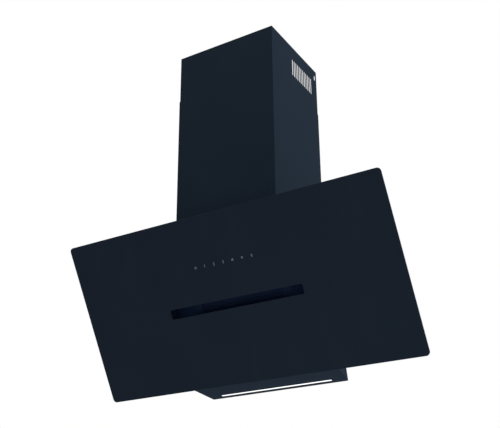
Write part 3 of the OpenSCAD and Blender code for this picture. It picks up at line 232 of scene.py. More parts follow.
def between(tree, value, low, high, lowOut=0.0, highOut=1.0):  # smooth step of a value
    ends = {"Value": value, "From Min": low, "From Max": high, "To Min": lowOut, "To Max": highOut}
    return step(tree, "ShaderNodeMapRange", ends, interpolation_type="SMOOTHSTEP").outputs["Result"]


def mixed(tree, share, first, second):  # two values by a fixed share
    return reckon(tree, "MULTIPLY_ADD", first, share, times(tree, second, 1 - share))


def blend(tree, share, first, second):  # colours or sockets mixed by a share
    first, second = ((*value, 1) if isinstance(value, tuple) else value for value in (first, second))
    return step(tree, "ShaderNodeMix", {0: share, 6: first, 7: second}, data_type="RGBA").outputs[2]


def bump(tree, height, distance, strength=1.0):
    return step(tree, "ShaderNodeBump", {"Distance": distance, "Strength": strength, "Height": height}).outputs[0]


def coatGrain():  # orange peel and fine pebble of sprayed and baked paint
    group, given, made = newGroup("coatGrain", {"Pebble": 1400.0, "Peel": 220.0, "Cloud": 9.0}, ("Height", "Tone"))
    pebble = noise(group, given["Pebble"], 2.0)
    peel = noise(group, given["Peel"], 1.0)
    cloud = noise(group, given["Cloud"], 4.0)
    link(group, reckon(group, "MULTIPLY_ADD", pebble, 0.35, peel), made["Height"])
    link(group, between(group, mixed(group, 0.3, pebble, cloud), 0.3, 0.7), made["Tone"])


def edgeRub():  # mask of rubbed edges: where the rounded normal leaves the flat one
    group, given, made = newGroup("edgeRub", {"Reach": 0.8 * mm, "Breakup": 160.0}, ("Mask",))
    rounded = step(group, "ShaderNodeBevel", {"Radius": given["Reach"]}, samples=4).outputs[0]
    flat = group.nodes.new("ShaderNodeNewGeometry").outputs["Normal"]
    dot = step(group, "ShaderNodeVectorMath", {0: rounded, 1: flat}, operation="DOT_PRODUCT").outputs["Value"]
    edge = between(group, reckon(group, "SUBTRACT", 1.0, dot), 0.02, 0.25)
    chips = between(group, noise(group, given["Breakup"], 5.0), 0.42, 0.62)
    link(group, times(group, edge, chips), made["Mask"])


def wipeMarks():  # faint arcs and clouds that a cloth leaves on a polished pane
    group, given, made = newGroup("wipeMarks", {"Size": 5.0, "Fine": 90.0}, ("Mark", "Speck"))
    wave = step(group, "ShaderNodeTexWave",
                {"Scale": 3.0, "Distortion": 9.0, "Detail": 3.0, "Vector": onObject(group)}).outputs[1]
    cloud = between(group, noise(group, given["Size"], 3.0), 0.4, 0.7)
    sweep = reckon(group, "MULTIPLY_ADD", between(group, wave, 0.55, 1.0), 0.5, 0.5)
    link(group, times(group, cloud, sweep), made["Mark"])
    link(group, between(group, noise(group, given["Fine"], 6.0), 0.62, 0.75), made["Speck"])


def drawnLines():  # fine parallel lines that rolling or brushing leaves in metal
    group, given, made = newGroup("drawnLines", {"Along": (6.0, 900.0, 900.0), "Blotch": 14.0}, ("Tone", "Height"))
    stretch = step(group, "ShaderNodeVectorMath", {0: onObject(group), 1: given["Along"]}, operation="MULTIPLY")
    lines = noise(group, 1.0, 3.0, stretch.outputs[0])
    blotch = noise(group, given["Blotch"], 4.0)
    link(group, between(group, mixed(group, 0.5, blotch, lines), 0.3, 0.7), made["Tone"])
    link(group, lines, made["Height"])


def zincBloom():  # crystals of a galvanised sheet, with a soft cloud over them
    group, given, made = newGroup("zincBloom", {"Crystal": 160.0, "Cloud": 25.0}, ("Tone", "Height"))
    shade = step(group, "ShaderNodeSeparateColor", {0: cells(group, given["Crystal"])["Color"]}).outputs[0]
    link(group, mixed(group, 0.5, shade, noise(group, given["Cloud"], 3.0)), made["Tone"])
    link(group, noise(group, 1800.0, 2.0), made["Height"])


def mouldGrain():  # fine spark-eroded texture of moulded plastic
    group, given, made = newGroup("mouldGrain", {"Grain": 2200.0, "Flow": 18.0}, ("Height", "Tone"))
    link(group, cells(group, given["Grain"])["Distance"], made["Height"])
    link(group, between(group, noise(group, given["Flow"], 3.0), 0.35, 0.65), made["Tone"])


for makeEffect in (coatGrain, edgeRub, wipeMarks, drawnLines, zincBloom, mouldGrain):
    makeEffect()
print("shader groups built:", ", ".join(effects))


# finishes
def placeEffect(tree, name, given):
    return step(tree, "ShaderNodeGroup", given, node_tree=effects[name]).outputs


def layeredFinish(name, look):  # two tones of an effect, edges rubbed through, gloss and relief
    made, tree, shader = newFinish(name, look["shader"])
    skin = placeEffect(tree, look["effect"], look.get("given"))
    body = blend(tree, skin["Tone"], *look["tones"])
    if "worn" in look:
        body = blend(tree, placeEffect(tree, "edgeRub", look["rub"])["Mask"], body, look["worn"])
    link(tree, body, shader["Base Color"])
    link(tree, between(tree, skin["Tone"], *look.get("toneEnds", (0.0, 1.0)), *look["gloss"]), shader["Roughness"])
    link(tree, bump(tree, skin["Height"], look["relief"]), shader["Normal"])
    return made


coatLook = {  # baked powder coat on sheet steel
    "effect": "coatGrain", "tones": ((0.0084, 0.0137, 0.0214), (0.0093, 0.0148, 0.0230)),
    "worn": (0.015, 0.023, 0.034), "rub": {"Reach": 0.7 * mm}, "gloss": (0.34, 0.46), "relief": 0.018 * mm,
    "shader": {"Specular IOR Level": 0.002, "Specular Tint": (0.66, 0.82, 1.0, 1.0)},
}
innerLook = {  # matt coat of the sheets behind the glass
    "effect": "coatGrain", "tones": ((0.0100, 0.0206, 0.0530), (0.0110, 0.0222, 0.0565)),
    "worn": (0.018, 0.031, 0.070), "rub": {"Reach": 0.6 * mm}, "gloss": (0.5, 0.62), "relief": 0.02 * mm,
    "shader": {"Specular IOR Level": 0.01, "Specular Tint": (0.7, 0.84, 1.0, 1.0)},
}
trayLook = {**innerLook, "tones": ((0.0086, 0.0148, 0.0275), (0.0095, 0.0160, 0.0295))}
zincLook = {  # galvanised sheet of brackets, hinges and the lamp channel
    "effect": "zincBloom", "given": {"Crystal": 150.0}, "tones": ((0.42, 0.43, 0.45), (0.62, 0.63, 0.64)),
    "worn": (0.72, 0.72, 0.73), "rub": {"Reach": 0.5 * mm}, "toneEnds": (0.1, 0.9), "gloss": (0.28, 0.44),
    "relief": 0.01 * mm, "shader": {"Metallic": 1.0},
}
lampLook = {  # frosted window, evenly lit from behind
    "effect": "mouldGrain", "given": {"Grain": 3000.0}, "tones": ((0.36, 0.36, 0.35), (0.42, 0.42, 0.41)),
    "gloss": (0.5, 0.62), "relief": 0.01 * mm,
    "shader": {"Emission Color": (1.0, 1.0, 0.99, 1.0), "Emission Strength": 0.8},
}


def litOrShadedCopy(look, share):  # the same coat made a little lighter as painted light, or a little darker as painted shade
    return {**look, "tones": tuple(tuple(part * share for part in tone) for tone in look["tones"])}


def drawn(dark, bright, gloss, along):  # bare metal; lines run where along is small
    return {"effect": "drawnLines", "given": {"Along": along}, "tones": (dark, bright), "gloss": gloss,
            "relief": 0.006 * mm, "shader": {"Metallic": 1.0}}


def moulded(colour, flow, gloss, relief, grain=2200.0):  # plastic, rubber and foam
    return {"effect": "mouldGrain", "given": {"Grain": grain}, "tones": (colour, flow),
            "worn": tuple(part * 1.5 for part in flow), "rub": {"Reach": 0.5 * mm, "Breakup": 240.0},
            "gloss": gloss, "relief": relief * mm, "shader": {"Specular IOR Level": 0.3}}


paneLook = {
    "colour": (0.0092, 0.0144, 0.0238), "mark": (0.0101, 0.0156, 0.0253), "arris": (0.016, 0.024, 0.038),
    "polish": (0.10, 0.17), "rub": {"Reach": 1.2 * mm, "Breakup": 20.0}, "waves": 7.0, "waveHeight": 0.05 * mm,
    "shader": {"Specular IOR Level": 0.02, "Specular Tint": (0.72, 0.86, 1.0, 1.0)},
}
maskLook = {"mask": (0.012, 0.075, 0.03), "track": (0.02, 0.12, 0.05), "gloss": (0.2, 0.34), "trackScale": 260.0}


def paneFinish():  # dark glass, enamelled behind, with a ground and polished edge
    made, tree, shader = newFinish("darkPane", paneLook["shader"])
    marks = placeEffect(tree, "wipeMarks", None)
    rubbed = placeEffect(tree, "edgeRub", paneLook["rub"])["Mask"]
    face = blend(tree, marks["Mark"], paneLook["colour"], paneLook["mark"])
    link(tree, blend(tree, rubbed, face, paneLook["arris"]), shader["Base Color"])
    dull = reckon(tree, "MAXIMUM", marks["Mark"], marks["Speck"])
    link(tree, between(tree, dull, 0.0, 1.0, *paneLook["polish"]), shader["Roughness"])
    link(tree, bump(tree, noise(tree, paneLook["waves"], 1.0), paneLook["waveHeight"], 0.3), shader["Normal"])
    return made


def boardFinish():  # green solder mask over copper tracks
    made, tree, shader = newFinish("solderMask", {})
    track = cells(tree, maskLook["trackScale"], distance="CHEBYCHEV")["Distance"]
    track = between(tree, track, 0.42, 0.5)
    link(tree, blend(tree, track, maskLook["mask"], maskLook["track"]), shader["Base Color"])
    link(tree, between(tree, track, 0.0, 1.0, *maskLook["gloss"]), shader["Roughness"])
    link(tree, bump(tree, track, 0.03 * mm), shader["Normal"])
    return made


layered = {  # name and look of each finish, by the slot or piece that it is for
    "black_steel": ("satinCoat", coatLook),
    # painted shade: the side panels' coat is darkened, standing in for the shade on their downward-leaning faces
    "side_steel": ("sideCoat", litOrShadedCopy(coatLook, 0.82)),
    # painted light: the bottom panel's coat is lightened, standing in for more light on the underside
    "under_steel": ("undersideCoat", litOrShadedCopy(coatLook, 1.14)),
    "inner_steel": ("innerCoat", innerLook),
    "tray": ("trayCoat", trayLook),
    "bright_steel": ("galvanised", zincLook),
    "diffuser_white": ("frostedWindow", lampLook),
    "turned": ("turnedSteel", drawn((0.38, 0.38, 0.4), (0.66, 0.66, 0.67), (0.18, 0.36), (30.0, 1600.0, 1600.0))),
    "dark_steel": ("magnetPlate", drawn((0.07, 0.07, 0.08), (0.16, 0.16, 0.17), (0.4, 0.6), (900.0, 40.0, 900.0))),
    "filter_aluminium": ("blackAnodised", drawn((0.0092, 0.0172, 0.0440), (0.0142, 0.0245, 0.0600), (0.42, 0.55),
                                                (12.0, 700.0, 700.0))),
    "frame": ("anodisedFrame", drawn((0.0100, 0.0182, 0.0440), (0.0128, 0.0225, 0.0540), (0.42, 0.55),
                                     (12.0, 700.0, 700.0))),
    "copper_winding": ("enamelledWire", drawn((0.34, 0.12, 0.05), (0.62, 0.27, 0.10), (0.22, 0.34),
                                              (900.0, 900.0, 900.0))),
    "dark_plastic": ("darkMoulding", moulded((0.010, 0.010, 0.012), (0.016, 0.016, 0.019), (0.42, 0.58), 0.012)),
    "grey_plastic": ("greyMoulding", moulded((0.075, 0.076, 0.082), (0.095, 0.096, 0.10), (0.45, 0.6), 0.012)),
    "cap_white": ("paleMoulding", moulded((0.62, 0.62, 0.58), (0.70, 0.70, 0.66), (0.3, 0.42), 0.006)),
    "black_rubber": ("softRubber", moulded((0.006, 0.006, 0.006), (0.011, 0.011, 0.011), (0.62, 0.8), 0.02, 900.0)),
    "foam": ("closedFoam", moulded((0.013, 0.013, 0.014), (0.024, 0.024, 0.025), (0.85, 0.98), 0.25, 700.0)),
    "gold_pad": ("contactFoam", moulded((0.26, 0.19, 0.08), (0.36, 0.27, 0.12), (0.6, 0.8), 0.1, 900.0)),
    "symbol_print": ("printedInk", moulded((0.150, 0.166, 0.200), (0.182, 0.200, 0.238), (0.3, 0.4), 0.002)),
}
finishes = {slot: layeredFinish(*entry) for slot, entry in layered.items()}
finishes.update({"black_glass": paneFinish(), "board_green": boardFinish()})
# the side panels take the coat with painted shade, and the bottom panel takes the coat with painted light
ownFinish = {"filter_frame": "frame", "door_tray": "tray", "back_panel": "black_steel", "front_rim": "black_steel",
             "side_panel_left": "side_steel", "side_panel_right": "side_steel", "bottom_panel": "under_steel",
             **dict.fromkeys(("hinge_pins", "motor_shaft", "motor_bearings", "flap_pins"), "turned")}
for nodeName, node in nodes.items():
    node.data.materials.clear()
    node.data.materials.append(finishes[ownFinish.get(nodeName, slotOf[nodeName])])
print("finishes built:", len(finishes))

# visible sheets and mouldings get their folds and rounded edges
weldReach = 0.002 * mm
flatAngle = math.radians(0.4)
creaseAngle = math.radians(30)


def weldedShape(mesh):
    shape = bmesh.new()
    shape.from_mesh(mesh)
    bmesh.ops.remove_doubles(shape, verts=shape.verts, dist=weldReach)
    return shape


def asPiece(mesh, pieceName, material):  # smooth but for its creases
    mesh.materials.append(material)
    mesh.shade_smooth()
    mesh.set_sharp_from_angle(angle=creaseAngle)
    return newObject(pieceName, mesh)


def cleanCopy(nodeName, pieceName):  # the node's mesh, welded and freed of its flat diagonals
    shape = weldedShape(nodes[nodeName].data)
    bmesh.ops.dissolve_limit(shape, angle_limit=flatAngle, verts=shape.verts, edges=shape.edges,
                             delimit={"NORMAL"})
    return asPiece(asMesh(shape, pieceName), pieceName, nodes[nodeName].data.materials[0])


def standIn(piece, nodeName):  # the piece takes the node's place and body, and the node is hidden
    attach(piece, bodyOf[nodeName])
    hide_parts(nodeName)
    return piece


def soften(piece, width):
    bevel = piece.modifiers.new("softEdges", "BEVEL")
    bevel.width, bevel.segments = width, 2
    bevel.limit_method, bevel.angle_limit = "ANGLE", creaseAngle
    bevel.harden_normals = True


def pieceNameFor(nodeName):  # door_tray becomes doorTrayPiece
    first, *rest = nodeName.split("_")
    return first + "".join(word.capitalize() for word in rest) + "Piece"


chimneyFold = {"sheet": 0.8 * mm, "radius": 1.4 * mm, "segments": 4, "shortest": 10 * mm, "reach": 0.05 * mm}


def foldCorners(piece):  # rounds the upright folds of a three-sided sheet
    sheet, reach = chimneyFold["sheet"], chimneyFold["reach"]
    front = min(vertex.co.y for vertex in piece.data.vertices)
    side = max(vertex.co.x for vertex in piece.data.vertices)
    weights = piece.data.attributes.new("bevel_weight_edge", "FLOAT", "EDGE")
    for edge in piece.data.edges:
        low, high = (piece.data.vertices[index].co for index in edge.vertices)
        if abs(low.z - high.z) < chimneyFold["shortest"]:
            continue
        outside = abs(low.y - front) < reach and abs(abs(low.x) - side) < reach
        inside = abs(low.y - front - sheet) < reach and abs(abs(low.x) - side + sheet) < reach
        if outside or inside:
            weights.data[edge.index].value = 1.0 if outside else 1 - sheet / chimneyFold["radius"]
    fold = piece.modifiers.new("fold", "BEVEL")
    fold.width, fold.segments = chimneyFold["radius"], chimneyFold["segments"]
    fold.limit_method = "WEIGHT"


softEdges = {  # edge radius in millimetres, and the nodes that have it
    0.12: "touch_board",
    0.22: "lower_chimney upper_chimney",
    0.25: "back_panel top_panel bottom_panel side_panel_left side_panel_right front_rim lamp_diffuser",
    0.3: "door_tray hinge_door_left hinge_door_right hinge_body_left hinge_body_right motor_bracket lamp_housing"
         " rotor_core",
    0.35: "touch_carrier touch_cover scroll_left scroll_right flap_front flap_back",
    0.4: "front_panel catch_magnets wall_hooks cable_gland",
    0.5: "filter_latch outlet_collar control_box terminal_box motor_grommets",
    0.7: "glass_panel door_bumpers control_cover terminal_cover",
    0.8: "capacitor outlet_gasket",
    0.9: "filter_frame motor_case",
    1.2: "filter_handle",
}
for radius, nodeNames in softEdges.items():
    for nodeName in nodeNames.split():
        piece = cleanCopy(nodeName, pieceNameFor(nodeName))
        if nodeName.endswith("chimney"):
            foldCorners(piece)
        soften(piece, radius * mm)
        standIn(piece, nodeName)
print("edges softened on", len(" ".join(softEdges.values()).split()), "pieces")


# geometry trees: what repeats is grown from a few named sizes
def newTree(name, sizes):
    tree = bpy.data.node_groups.new(name, "GeometryNodeTree")
    tree.interface.new_socket("Geometry", in_out="INPUT", socket_type="NodeSocketGeometry")
    kinds = {int: "NodeSocketInt", float: "NodeSocketFloat", tuple: "NodeSocketVector"}
    for label, value in sizes.items():
        socket = tree.interface.new_socket(label, in_out="INPUT", socket_type=kinds[type(value)])
        socket.default_value = value
    tree.interface.new_socket("Material", in_out="INPUT", socket_type="NodeSocketMaterial")
    tree.interface.new_socket("Geometry", in_out="OUTPUT", socket_type="NodeSocketGeometry")
    return tree, tree.nodes.new("NodeGroupInput").outputs, tree.nodes.new("NodeGroupOutput").inputs


def geo(tree, kind, values=None, **settings):  # what a geometry node puts out
    return step(tree, "GeometryNode" + kind, values, **settings).outputs[0]


def vectorOf(tree, x=0.0, y=0.0, z=0.0):
    return step(tree, "ShaderNodeCombineXYZ", {0: x, 1: y, 2: z}).outputs[0]


def moved(tree, geometry, place=(0.0, 0.0, 0.0), turn=(0.0, 0.0, 0.0)):
    return geo(tree, "Transform", {"Geometry": geometry, "Translation": place, "Rotation": turn})


def raised(tree, geometry, height, share=1.0):  # moved up by a share of a height
    return moved(tree, geometry, vectorOf(tree, z=times(tree, height, share)))


def circle(tree, corners, radius):
    return geo(tree, "CurvePrimitiveCircle", {"Resolution": corners, "Radius": radius})


def oblong(tree, width, height):
    return geo(tree, "CurvePrimitiveQuadrilateral", {"Width": width, "Height": height})


def filleted(tree, curve, radius, count):
    values = {"Curve": curve, "Count": count, "Radius": radius, "Limit Radius": True}
    return geo(tree, "FilletCurve", values, mode="POLY")


def swept(tree, path, profile, caps=False):
    return geo(tree, "CurveToMesh", {0: path, "Profile Curve": profile, "Fill Caps": caps})


def rowOf(tree, count, offset, start=(0.0, 0.0, 0.0)):
    return geo(tree, "MeshLine", {"Count": count, "Start Location": start, "Offset": offset})


def onPoints(tree, points, instance, **more):
    return geo(tree, "InstanceOnPoints", {"Points": points, "Instance": instance, **more})


def together(tree, *pieces):
    node = tree.nodes.new("GeometryNodeJoinGeometry")
    for piece in pieces:
        link(tree, piece, node.inputs[0])
    return node.outputs[0]


def endTree(tree, geometry, given, made):
    solid = geo(tree, "RealizeInstances", {0: geometry})
    link(tree, geo(tree, "SetMaterial", {0: solid, "Material": given["Material"]}), made[0])
    return tree


def grow(tree, baseMesh, finish, values):  # the tree's result on a base mesh, as a plain mesh
    base = newObject(tree.name + "Base", baseMesh)
    modifier = base.modifiers.new(tree.name, "NODES")
    modifier.node_group = tree
    values = {**values, "Material": finishes[finish]}
    for item in tree.interface.items_tree:
        if item.in_out == "INPUT" and item.name in values:
            modifier[item.identifier] = values[item.name]
    ready = base.evaluated_get(bpy.context.evaluated_depsgraph_get())
    result = bpy.data.meshes.new_from_object(ready)
    bpy.data.objects.remove(base)
    return result


def gather(meshes, pieceName, finish):  # several plain meshes joined as one piece
    shape = bmesh.new()
    for mesh in meshes:
        shape.from_mesh(mesh)
    return asPiece(asMesh(shape, pieceName), pieceName, finishes[finish])


# pan-head screws with a cross recess, a thread and a point
screwLook = {  # shares are of the head's or the shank's radius
    "sides": 32, "headRings": 4, "dome": 0.45, "domeCurve": 3.0, "recessLong": 1.15, "recessWide": 0.3,
    "recessDeep": 1.2, "threadShare": 0.16, "threadSides": 3, "threadSteps": 16, "pitchShare": 0.55,
    "tipShare": 1.1, "tipRadius": 0.1 * mm, "seed": 11,
}
screwSizes = {"headRadius": 4 * mm, "headHeight": 2.2 * mm, "shankRadius": 2 * mm, "length": 8 * mm,
              "aim": (0.0, 0.0, 0.0)}


def panScrewTree():
    tree, given, made = newTree("panScrews", screwSizes)
    wide, high, radius, length = (given[label] for label in ("headRadius", "headHeight", "shankRadius", "length"))
    sides = screwLook["sides"]
    plain = {"Vertices": sides, "Fill Segments": screwLook["headRings"], "Radius": wide, "Depth": high}
    disc = geo(tree, "MeshCylinder", plain, fill_type="TRIANGLE_FAN")
    at = step(tree, "ShaderNodeSeparateXYZ", {0: geo(tree, "InputPosition")}).outputs
    flat = reckon(tree, "ADD", times(tree, at[0], at[0]), times(tree, at[1], at[1]))
    out = over(tree, reckon(tree, "SQRT", flat), wide)
    drop = times(tree, reckon(tree, "POWER", out, screwLook["domeCurve"]), times(tree, high, -screwLook["dome"]))
    drop = times(tree, drop, reckon(tree, "GREATER_THAN", at[2], 0.0))
    domed = geo(tree, "SetPosition", {"Geometry": disc, "Offset": vectorOf(tree, z=drop)})
    cut = step(tree, "GeometryNodeMeshBoolean", {"Mesh 1": raised(tree, domed, high, 0.5)}, operation="DIFFERENCE")
    long, slim = (times(tree, wide, screwLook[share]) for share in ("recessLong", "recessWide"))
    deep = times(tree, high, screwLook["recessDeep"])
    for size in (vectorOf(tree, long, slim, deep), vectorOf(tree, slim, long, deep)):
        link(tree, raised(tree, geo(tree, "MeshCube", {"Size": size}), high), cut.inputs["Mesh 2"])
    core = times(tree, radius, 1 - screwLook["threadShare"])
    tip = times(tree, radius, screwLook["tipShare"])
    straight = reckon(tree, "SUBTRACT", length, tip)
    rod = geo(tree, "MeshCylinder", {"Vertices": sides, "Radius": core, "Depth": straight})
    point = geo(tree, "MeshCone", {"Vertices": sides, "Radius Top": core, "Radius Bottom": screwLook["tipRadius"],
                                   "Depth": tip})
    turns = over(tree, straight, times(tree, radius, screwLook["pitchShare"]))
    helix = geo(tree, "CurveSpiral", {"Resolution": screwLook["threadSteps"], "Rotations": turns,
                                      "Start Radius": core, "End Radius": core, "Height": straight})
    ridge = circle(tree, screwLook["threadSides"], times(tree, radius, screwLook["threadShare"]))
    thread = swept(tree, helix, ridge)
    screw = together(tree, cut.outputs[0], raised(tree, rod, straight, -0.5), raised(tree, point, length, -1.0),
                     raised(tree, thread, straight, -1.0))
    stood = onPoints(tree, given["Geometry"], screw, Rotation=given["aim"])
    turn = step(tree, "FunctionNodeRandomValue", {2: 0.0, 3: math.tau, "Seed": screwLook["seed"]}, data_type="FLOAT")
    spun = geo(tree, "RotateInstances", {"Instances": stood, "Rotation": vectorOf(tree, z=turn.outputs[1])})
    return endTree(tree, spun, given, made)


screwTree = panScrewTree()
screwKinds = {  # head height and shank radius, by head radius in whole millimetres
    3: {"headHeight": 1.6 * mm, "shankRadius": 1.5 * mm},
    4: {"headHeight": 2.2 * mm, "shankRadius": 2.0 * mm},
}
screwHeads = {  # the way that the heads of each node look
    "touch_screws": inwards,
    "hinge_door_screws": inwards,
    "hinge_body_screws": -inwards,
    "scroll_screws": Vector((1, 0, 0)),
    "motor_screws": Vector((-1, 0, 0)),
    "top_screws": Vector((0, 0, 1)),
}


def islandsOf(mesh):  # places of the vertices of each separate solid
    shape = weldedShape(mesh)
    left = set(shape.verts)
    islands = []
    while left:
        found = [left.pop()]
        for vertex in found:
            for edge in vertex.link_edges:
                other = edge.other_vert(vertex)
                if other in left:
                    left.remove(other)
                    found.append(other)
        islands.append([vertex.co.copy() for vertex in found])
    shape.free()
    return islands


def aimOf(head):
    return tuple(head.to_track_quat("Z", "Y").to_euler())


def screwsOf(nodeName, head):
    groups = {}
    for island in islandsOf(nodes[nodeName].data):
        along = [place.dot(head) for place in island]
        middle = Vector([(max(part) + min(part)) / 2 for part in zip(*island)])
        axisPoint = middle - head * middle.dot(head)
        reach = max((place - head * place.dot(head) - axisPoint).length for place in island)
        kind = round(reach / mm)
        seat = max(along) - screwKinds[kind]["headHeight"]
        length = round((seat - min(along)) / mm, 2)
        groups.setdefault((kind, length), []).append(axisPoint + head * seat)
    meshes = []
    for (kind, length), seats in sorted(groups.items()):
        values = {"headRadius": kind * mm, "length": length * mm, "aim": aimOf(head), **screwKinds[kind]}
        inOrder = newMesh("seats", sorted(map(tuple, seats)))  # so each screw has the same turn in every run
        meshes.append(grow(screwTree, inOrder, "turned", values))
    return gather(meshes, pieceNameFor(nodeName), "turned")


for nodeName, head in screwHeads.items():
    standIn(screwsOf(nodeName, head), nodeName)
print("screws turned for", len(screwHeads), "nodes")

# grease mesh: rows of zigzag strands in rippled layers
meshLook = {
    "width": 250 * mm, "height": 270 * mm, "cell": 9.2 * mm, "row": 2.5 * mm, "strand": 1.55 * mm,
    "thickness": 0.35 * mm, "layers": 4, "layerGap": 1.9 * mm, "ripple": 0.12 * mm, "rippleLength": 9 * mm,
    "lean": (slope["lean"], 0.0, 0.0), "place": tuple(onFront(0, 42.2 * mm, 203.5 * mm)),
}


def strandMeshTree():
    tree, given, made = newTree("strandMesh", meshLook)
    half = times(tree, given["width"], 0.5)
    left = vectorOf(tree, times(tree, half, -1.0))
    line = geo(tree, "CurvePrimitiveLine", {"Start": left, "End": vectorOf(tree, half)})
    bends = times(tree, over(tree, given["width"], given["cell"]), 2.0)
    fine = geo(tree, "ResampleCurve", {0: line, "Count": bends})
    odd = reckon(tree, "MODULO", geo(tree, "InputIndex"), 2.0)
    swing = times(tree, reckon(tree, "SUBTRACT", odd, 0.5), given["row"])
    zigzag = geo(tree, "SetPosition", {0: fine, "Offset": vectorOf(tree, z=swing)})
    strand = swept(tree, zigzag, oblong(tree, given["thickness"], given["strand"]), True)
    foot = vectorOf(tree, z=times(tree, given["height"], -0.5))
    column = rowOf(tree, over(tree, given["height"], given["row"]), vectorOf(tree, z=given["row"]), foot)
    mirror = reckon(tree, "SUBTRACT", 1.0, times(tree, odd, 2.0))
    sheet = onPoints(tree, column, strand, Scale=vectorOf(tree, 1.0, 1.0, mirror))
    shift = vectorOf(tree, times(tree, given["cell"], 0.25), given["layerGap"], times(tree, given["row"], 0.5))
    layers = onPoints(tree, rowOf(tree, given["layers"], shift), sheet)
    solid = geo(tree, "RealizeInstances", {0: layers})
    up = step(tree, "ShaderNodeSeparateXYZ", {0: geo(tree, "InputPosition")}).outputs[2]
    phase = times(tree, over(tree, up, given["rippleLength"]), math.tau)
    wave = times(tree, reckon(tree, "SINE", phase), given["ripple"])
    rippled = geo(tree, "SetPosition", {0: solid, "Offset": vectorOf(tree, y=wave)})
    return endTree(tree, moved(tree, rippled, given["place"], given["lean"]), given, made)


strands = grow(strandMeshTree(), newMesh("meshBase"), "filter_aluminium", meshLook)
standIn(gather([strands], "greaseMesh", "filter_aluminium"), "filter_mesh")
print("grease mesh grown,", len(strands.polygons), "faces")

# leads: twisted cores along each route, from box to box
leadLook = {"cores": 3, "coreRadius": 1.1 * mm, "spread": 1.28 * mm, "pitch": 32 * mm, "bend": 10 * mm,
            "stride": 2.4 * mm}
leadSides = {"core": 10, "bend": 8}
leadRoutes = [  # cores and the places that each lead passes, in millimetres
    (3, [(-103.3, -17.5, 215), (-103.3, -17.5, 285), (-103.3, -115, 285), (-55, -115, 285)]),
    (2, [(-117.5, -16.6, 90), (-117.5, -16.6, 16.4)]),
    (3, [(-75, -17.5, 145), (80, -17.5, 145)]),
]


def twistedLeadTree():
    tree, given, made = newTree("twistedLead", leadLook)
    bent = filleted(tree, geo(tree, "MeshToCurve", {0: given["Geometry"]}), given["bend"], leadSides["bend"])
    even = geo(tree, "ResampleCurve", {0: bent, "Length": given["stride"]}, mode="LENGTH")
    run = step(tree, "GeometryNodeSplineParameter").outputs["Length"]
    turn = times(tree, over(tree, run, given["pitch"]), math.tau)
    twisted = geo(tree, "SetCurveTilt", {"Curve": even, "Tilt": turn})
    places = geo(tree, "MeshCircle", {"Vertices": given["cores"], "Radius": given["spread"]})
    bundle = onPoints(tree, places, circle(tree, leadSides["core"], given["coreRadius"]))
    lead = swept(tree, twisted, geo(tree, "RealizeInstances", {0: bundle}), True)
    return endTree(tree, lead, given, made)


leadTree = twistedLeadTree()
leadMeshes = []
for cores, route in leadRoutes:
    line = newMesh("route", [Vector(place) * mm for place in route],
                   [(start, start + 1) for start in range(len(route) - 1)])
    spread = leadLook["spread" if cores > 2 else "coreRadius"]
    leadMeshes.append(grow(leadTree, line, "black_rubber", {**leadLook, "cores": cores, "spread": spread}))
standIn(gather(leadMeshes, "twistedLeads", "black_rubber"), "wiring")
print("leads twisted:", len(leadRoutes))

# motor: punched sheets with a coil round each tooth
statorLook = {
    "teeth": 12, "bore": 20 * mm, "toothWide": 5.2 * mm, "shoeWide": 8.0 * mm, "shoe": 1.2 * mm, "neck": 0.8 * mm,
    "yoke": 4.2 * mm, "sheet": 0.5 * mm, "sheetStep": 0.56 * mm, "overhang": 4.3 * mm, "wire": 0.85 * mm,
    "layers": 3, "coilGap": 0.35 * mm, "wireSides": 6, "wireShare": 0.49, "bendShare": 1.6, "bendSteps": 4,
    "rimSides": 72,
}
statorLow, statorHigh = (Vector(corner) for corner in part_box("stator"))
statorMiddle = (statorLow + statorHigh) / 2
statorRadius = (statorHigh.z - statorLow.z) / 2


def around(out, across, angle):  # a place in the plane across the motor's axis
    forward, up = math.cos(angle), math.sin(angle)
    return 0, out * forward - across * up, out * up + across * forward


def toothedSheet():  # one punched sheet across the motor's axis
    bore, root = statorLook["bore"], statorRadius - statorLook["yoke"]
    half, tip = statorLook["toothWide"] / 2, statorLook["shoeWide"] / 2
    lip = bore + statorLook["shoe"]
    neck, mouth = lip + statorLook["neck"], math.sqrt(bore**2 - tip**2)
    tooth = [(root, -half), (neck, -half), (lip, -tip), (mouth, -tip), (bore, 0), (mouth, tip), (lip, tip),
             (neck, half), (root, half)]
    shape = bmesh.new()
    for count, outline in ((statorLook["rimSides"], [(statorRadius, 0)]), (statorLook["teeth"], tooth)):
        loop = [shape.verts.new(around(out, across, math.tau * index / count))
                for index in range(count) for out, across in outline]
        for start, end in zip(loop, loop[1:] + loop[:1]):
            shape.edges.new((start, end))
    bmesh.ops.triangle_fill(shape, use_beauty=True, edges=shape.edges)
    grown = bmesh.ops.extrude_face_region(shape, geom=list(shape.faces))["geom"]
    bmesh.ops.translate(shape, vec=(statorLook["sheet"], 0, 0),
                        verts=[part for part in grown if isinstance(part, bmesh.types.BMVert)])
    bmesh.ops.recalc_face_normals(shape, faces=shape.faces)
    return asMesh(shape, "toothedSheet")


def sheetStackTree():
    tree, given, made = newTree("sheetStack", {"count": 10, "step": 0.5 * mm, "start": (0.0, 0.0, 0.0)})
    row = rowOf(tree, given["count"], vectorOf(tree, given["step"]), given["start"])
    return endTree(tree, onPoints(tree, row, given["Geometry"]), given, made)


stackLong = statorHigh.x - statorLow.x - 2 * statorLook["overhang"]
sheetCount = int(stackLong / statorLook["sheetStep"])
stackStart = statorMiddle - Vector((sheetCount * statorLook["sheetStep"] / 2, 0, 0))
coilFoot = statorLook["bore"] + statorLook["shoe"] + statorLook["neck"] + statorLook["wire"] / 2
coilRoom = statorRadius - statorLook["yoke"] - coilFoot
coilSizes = {
    "teeth": statorLook["teeth"], "turns": int(coilRoom / statorLook["wire"]) + 1, "wire": statorLook["wire"],
    "along": stackLong + 2 * statorLook["coilGap"], "across": statorLook["toothWide"] + 2 * statorLook["coilGap"],
    "foot": coilFoot, "place": tuple(statorMiddle),
}


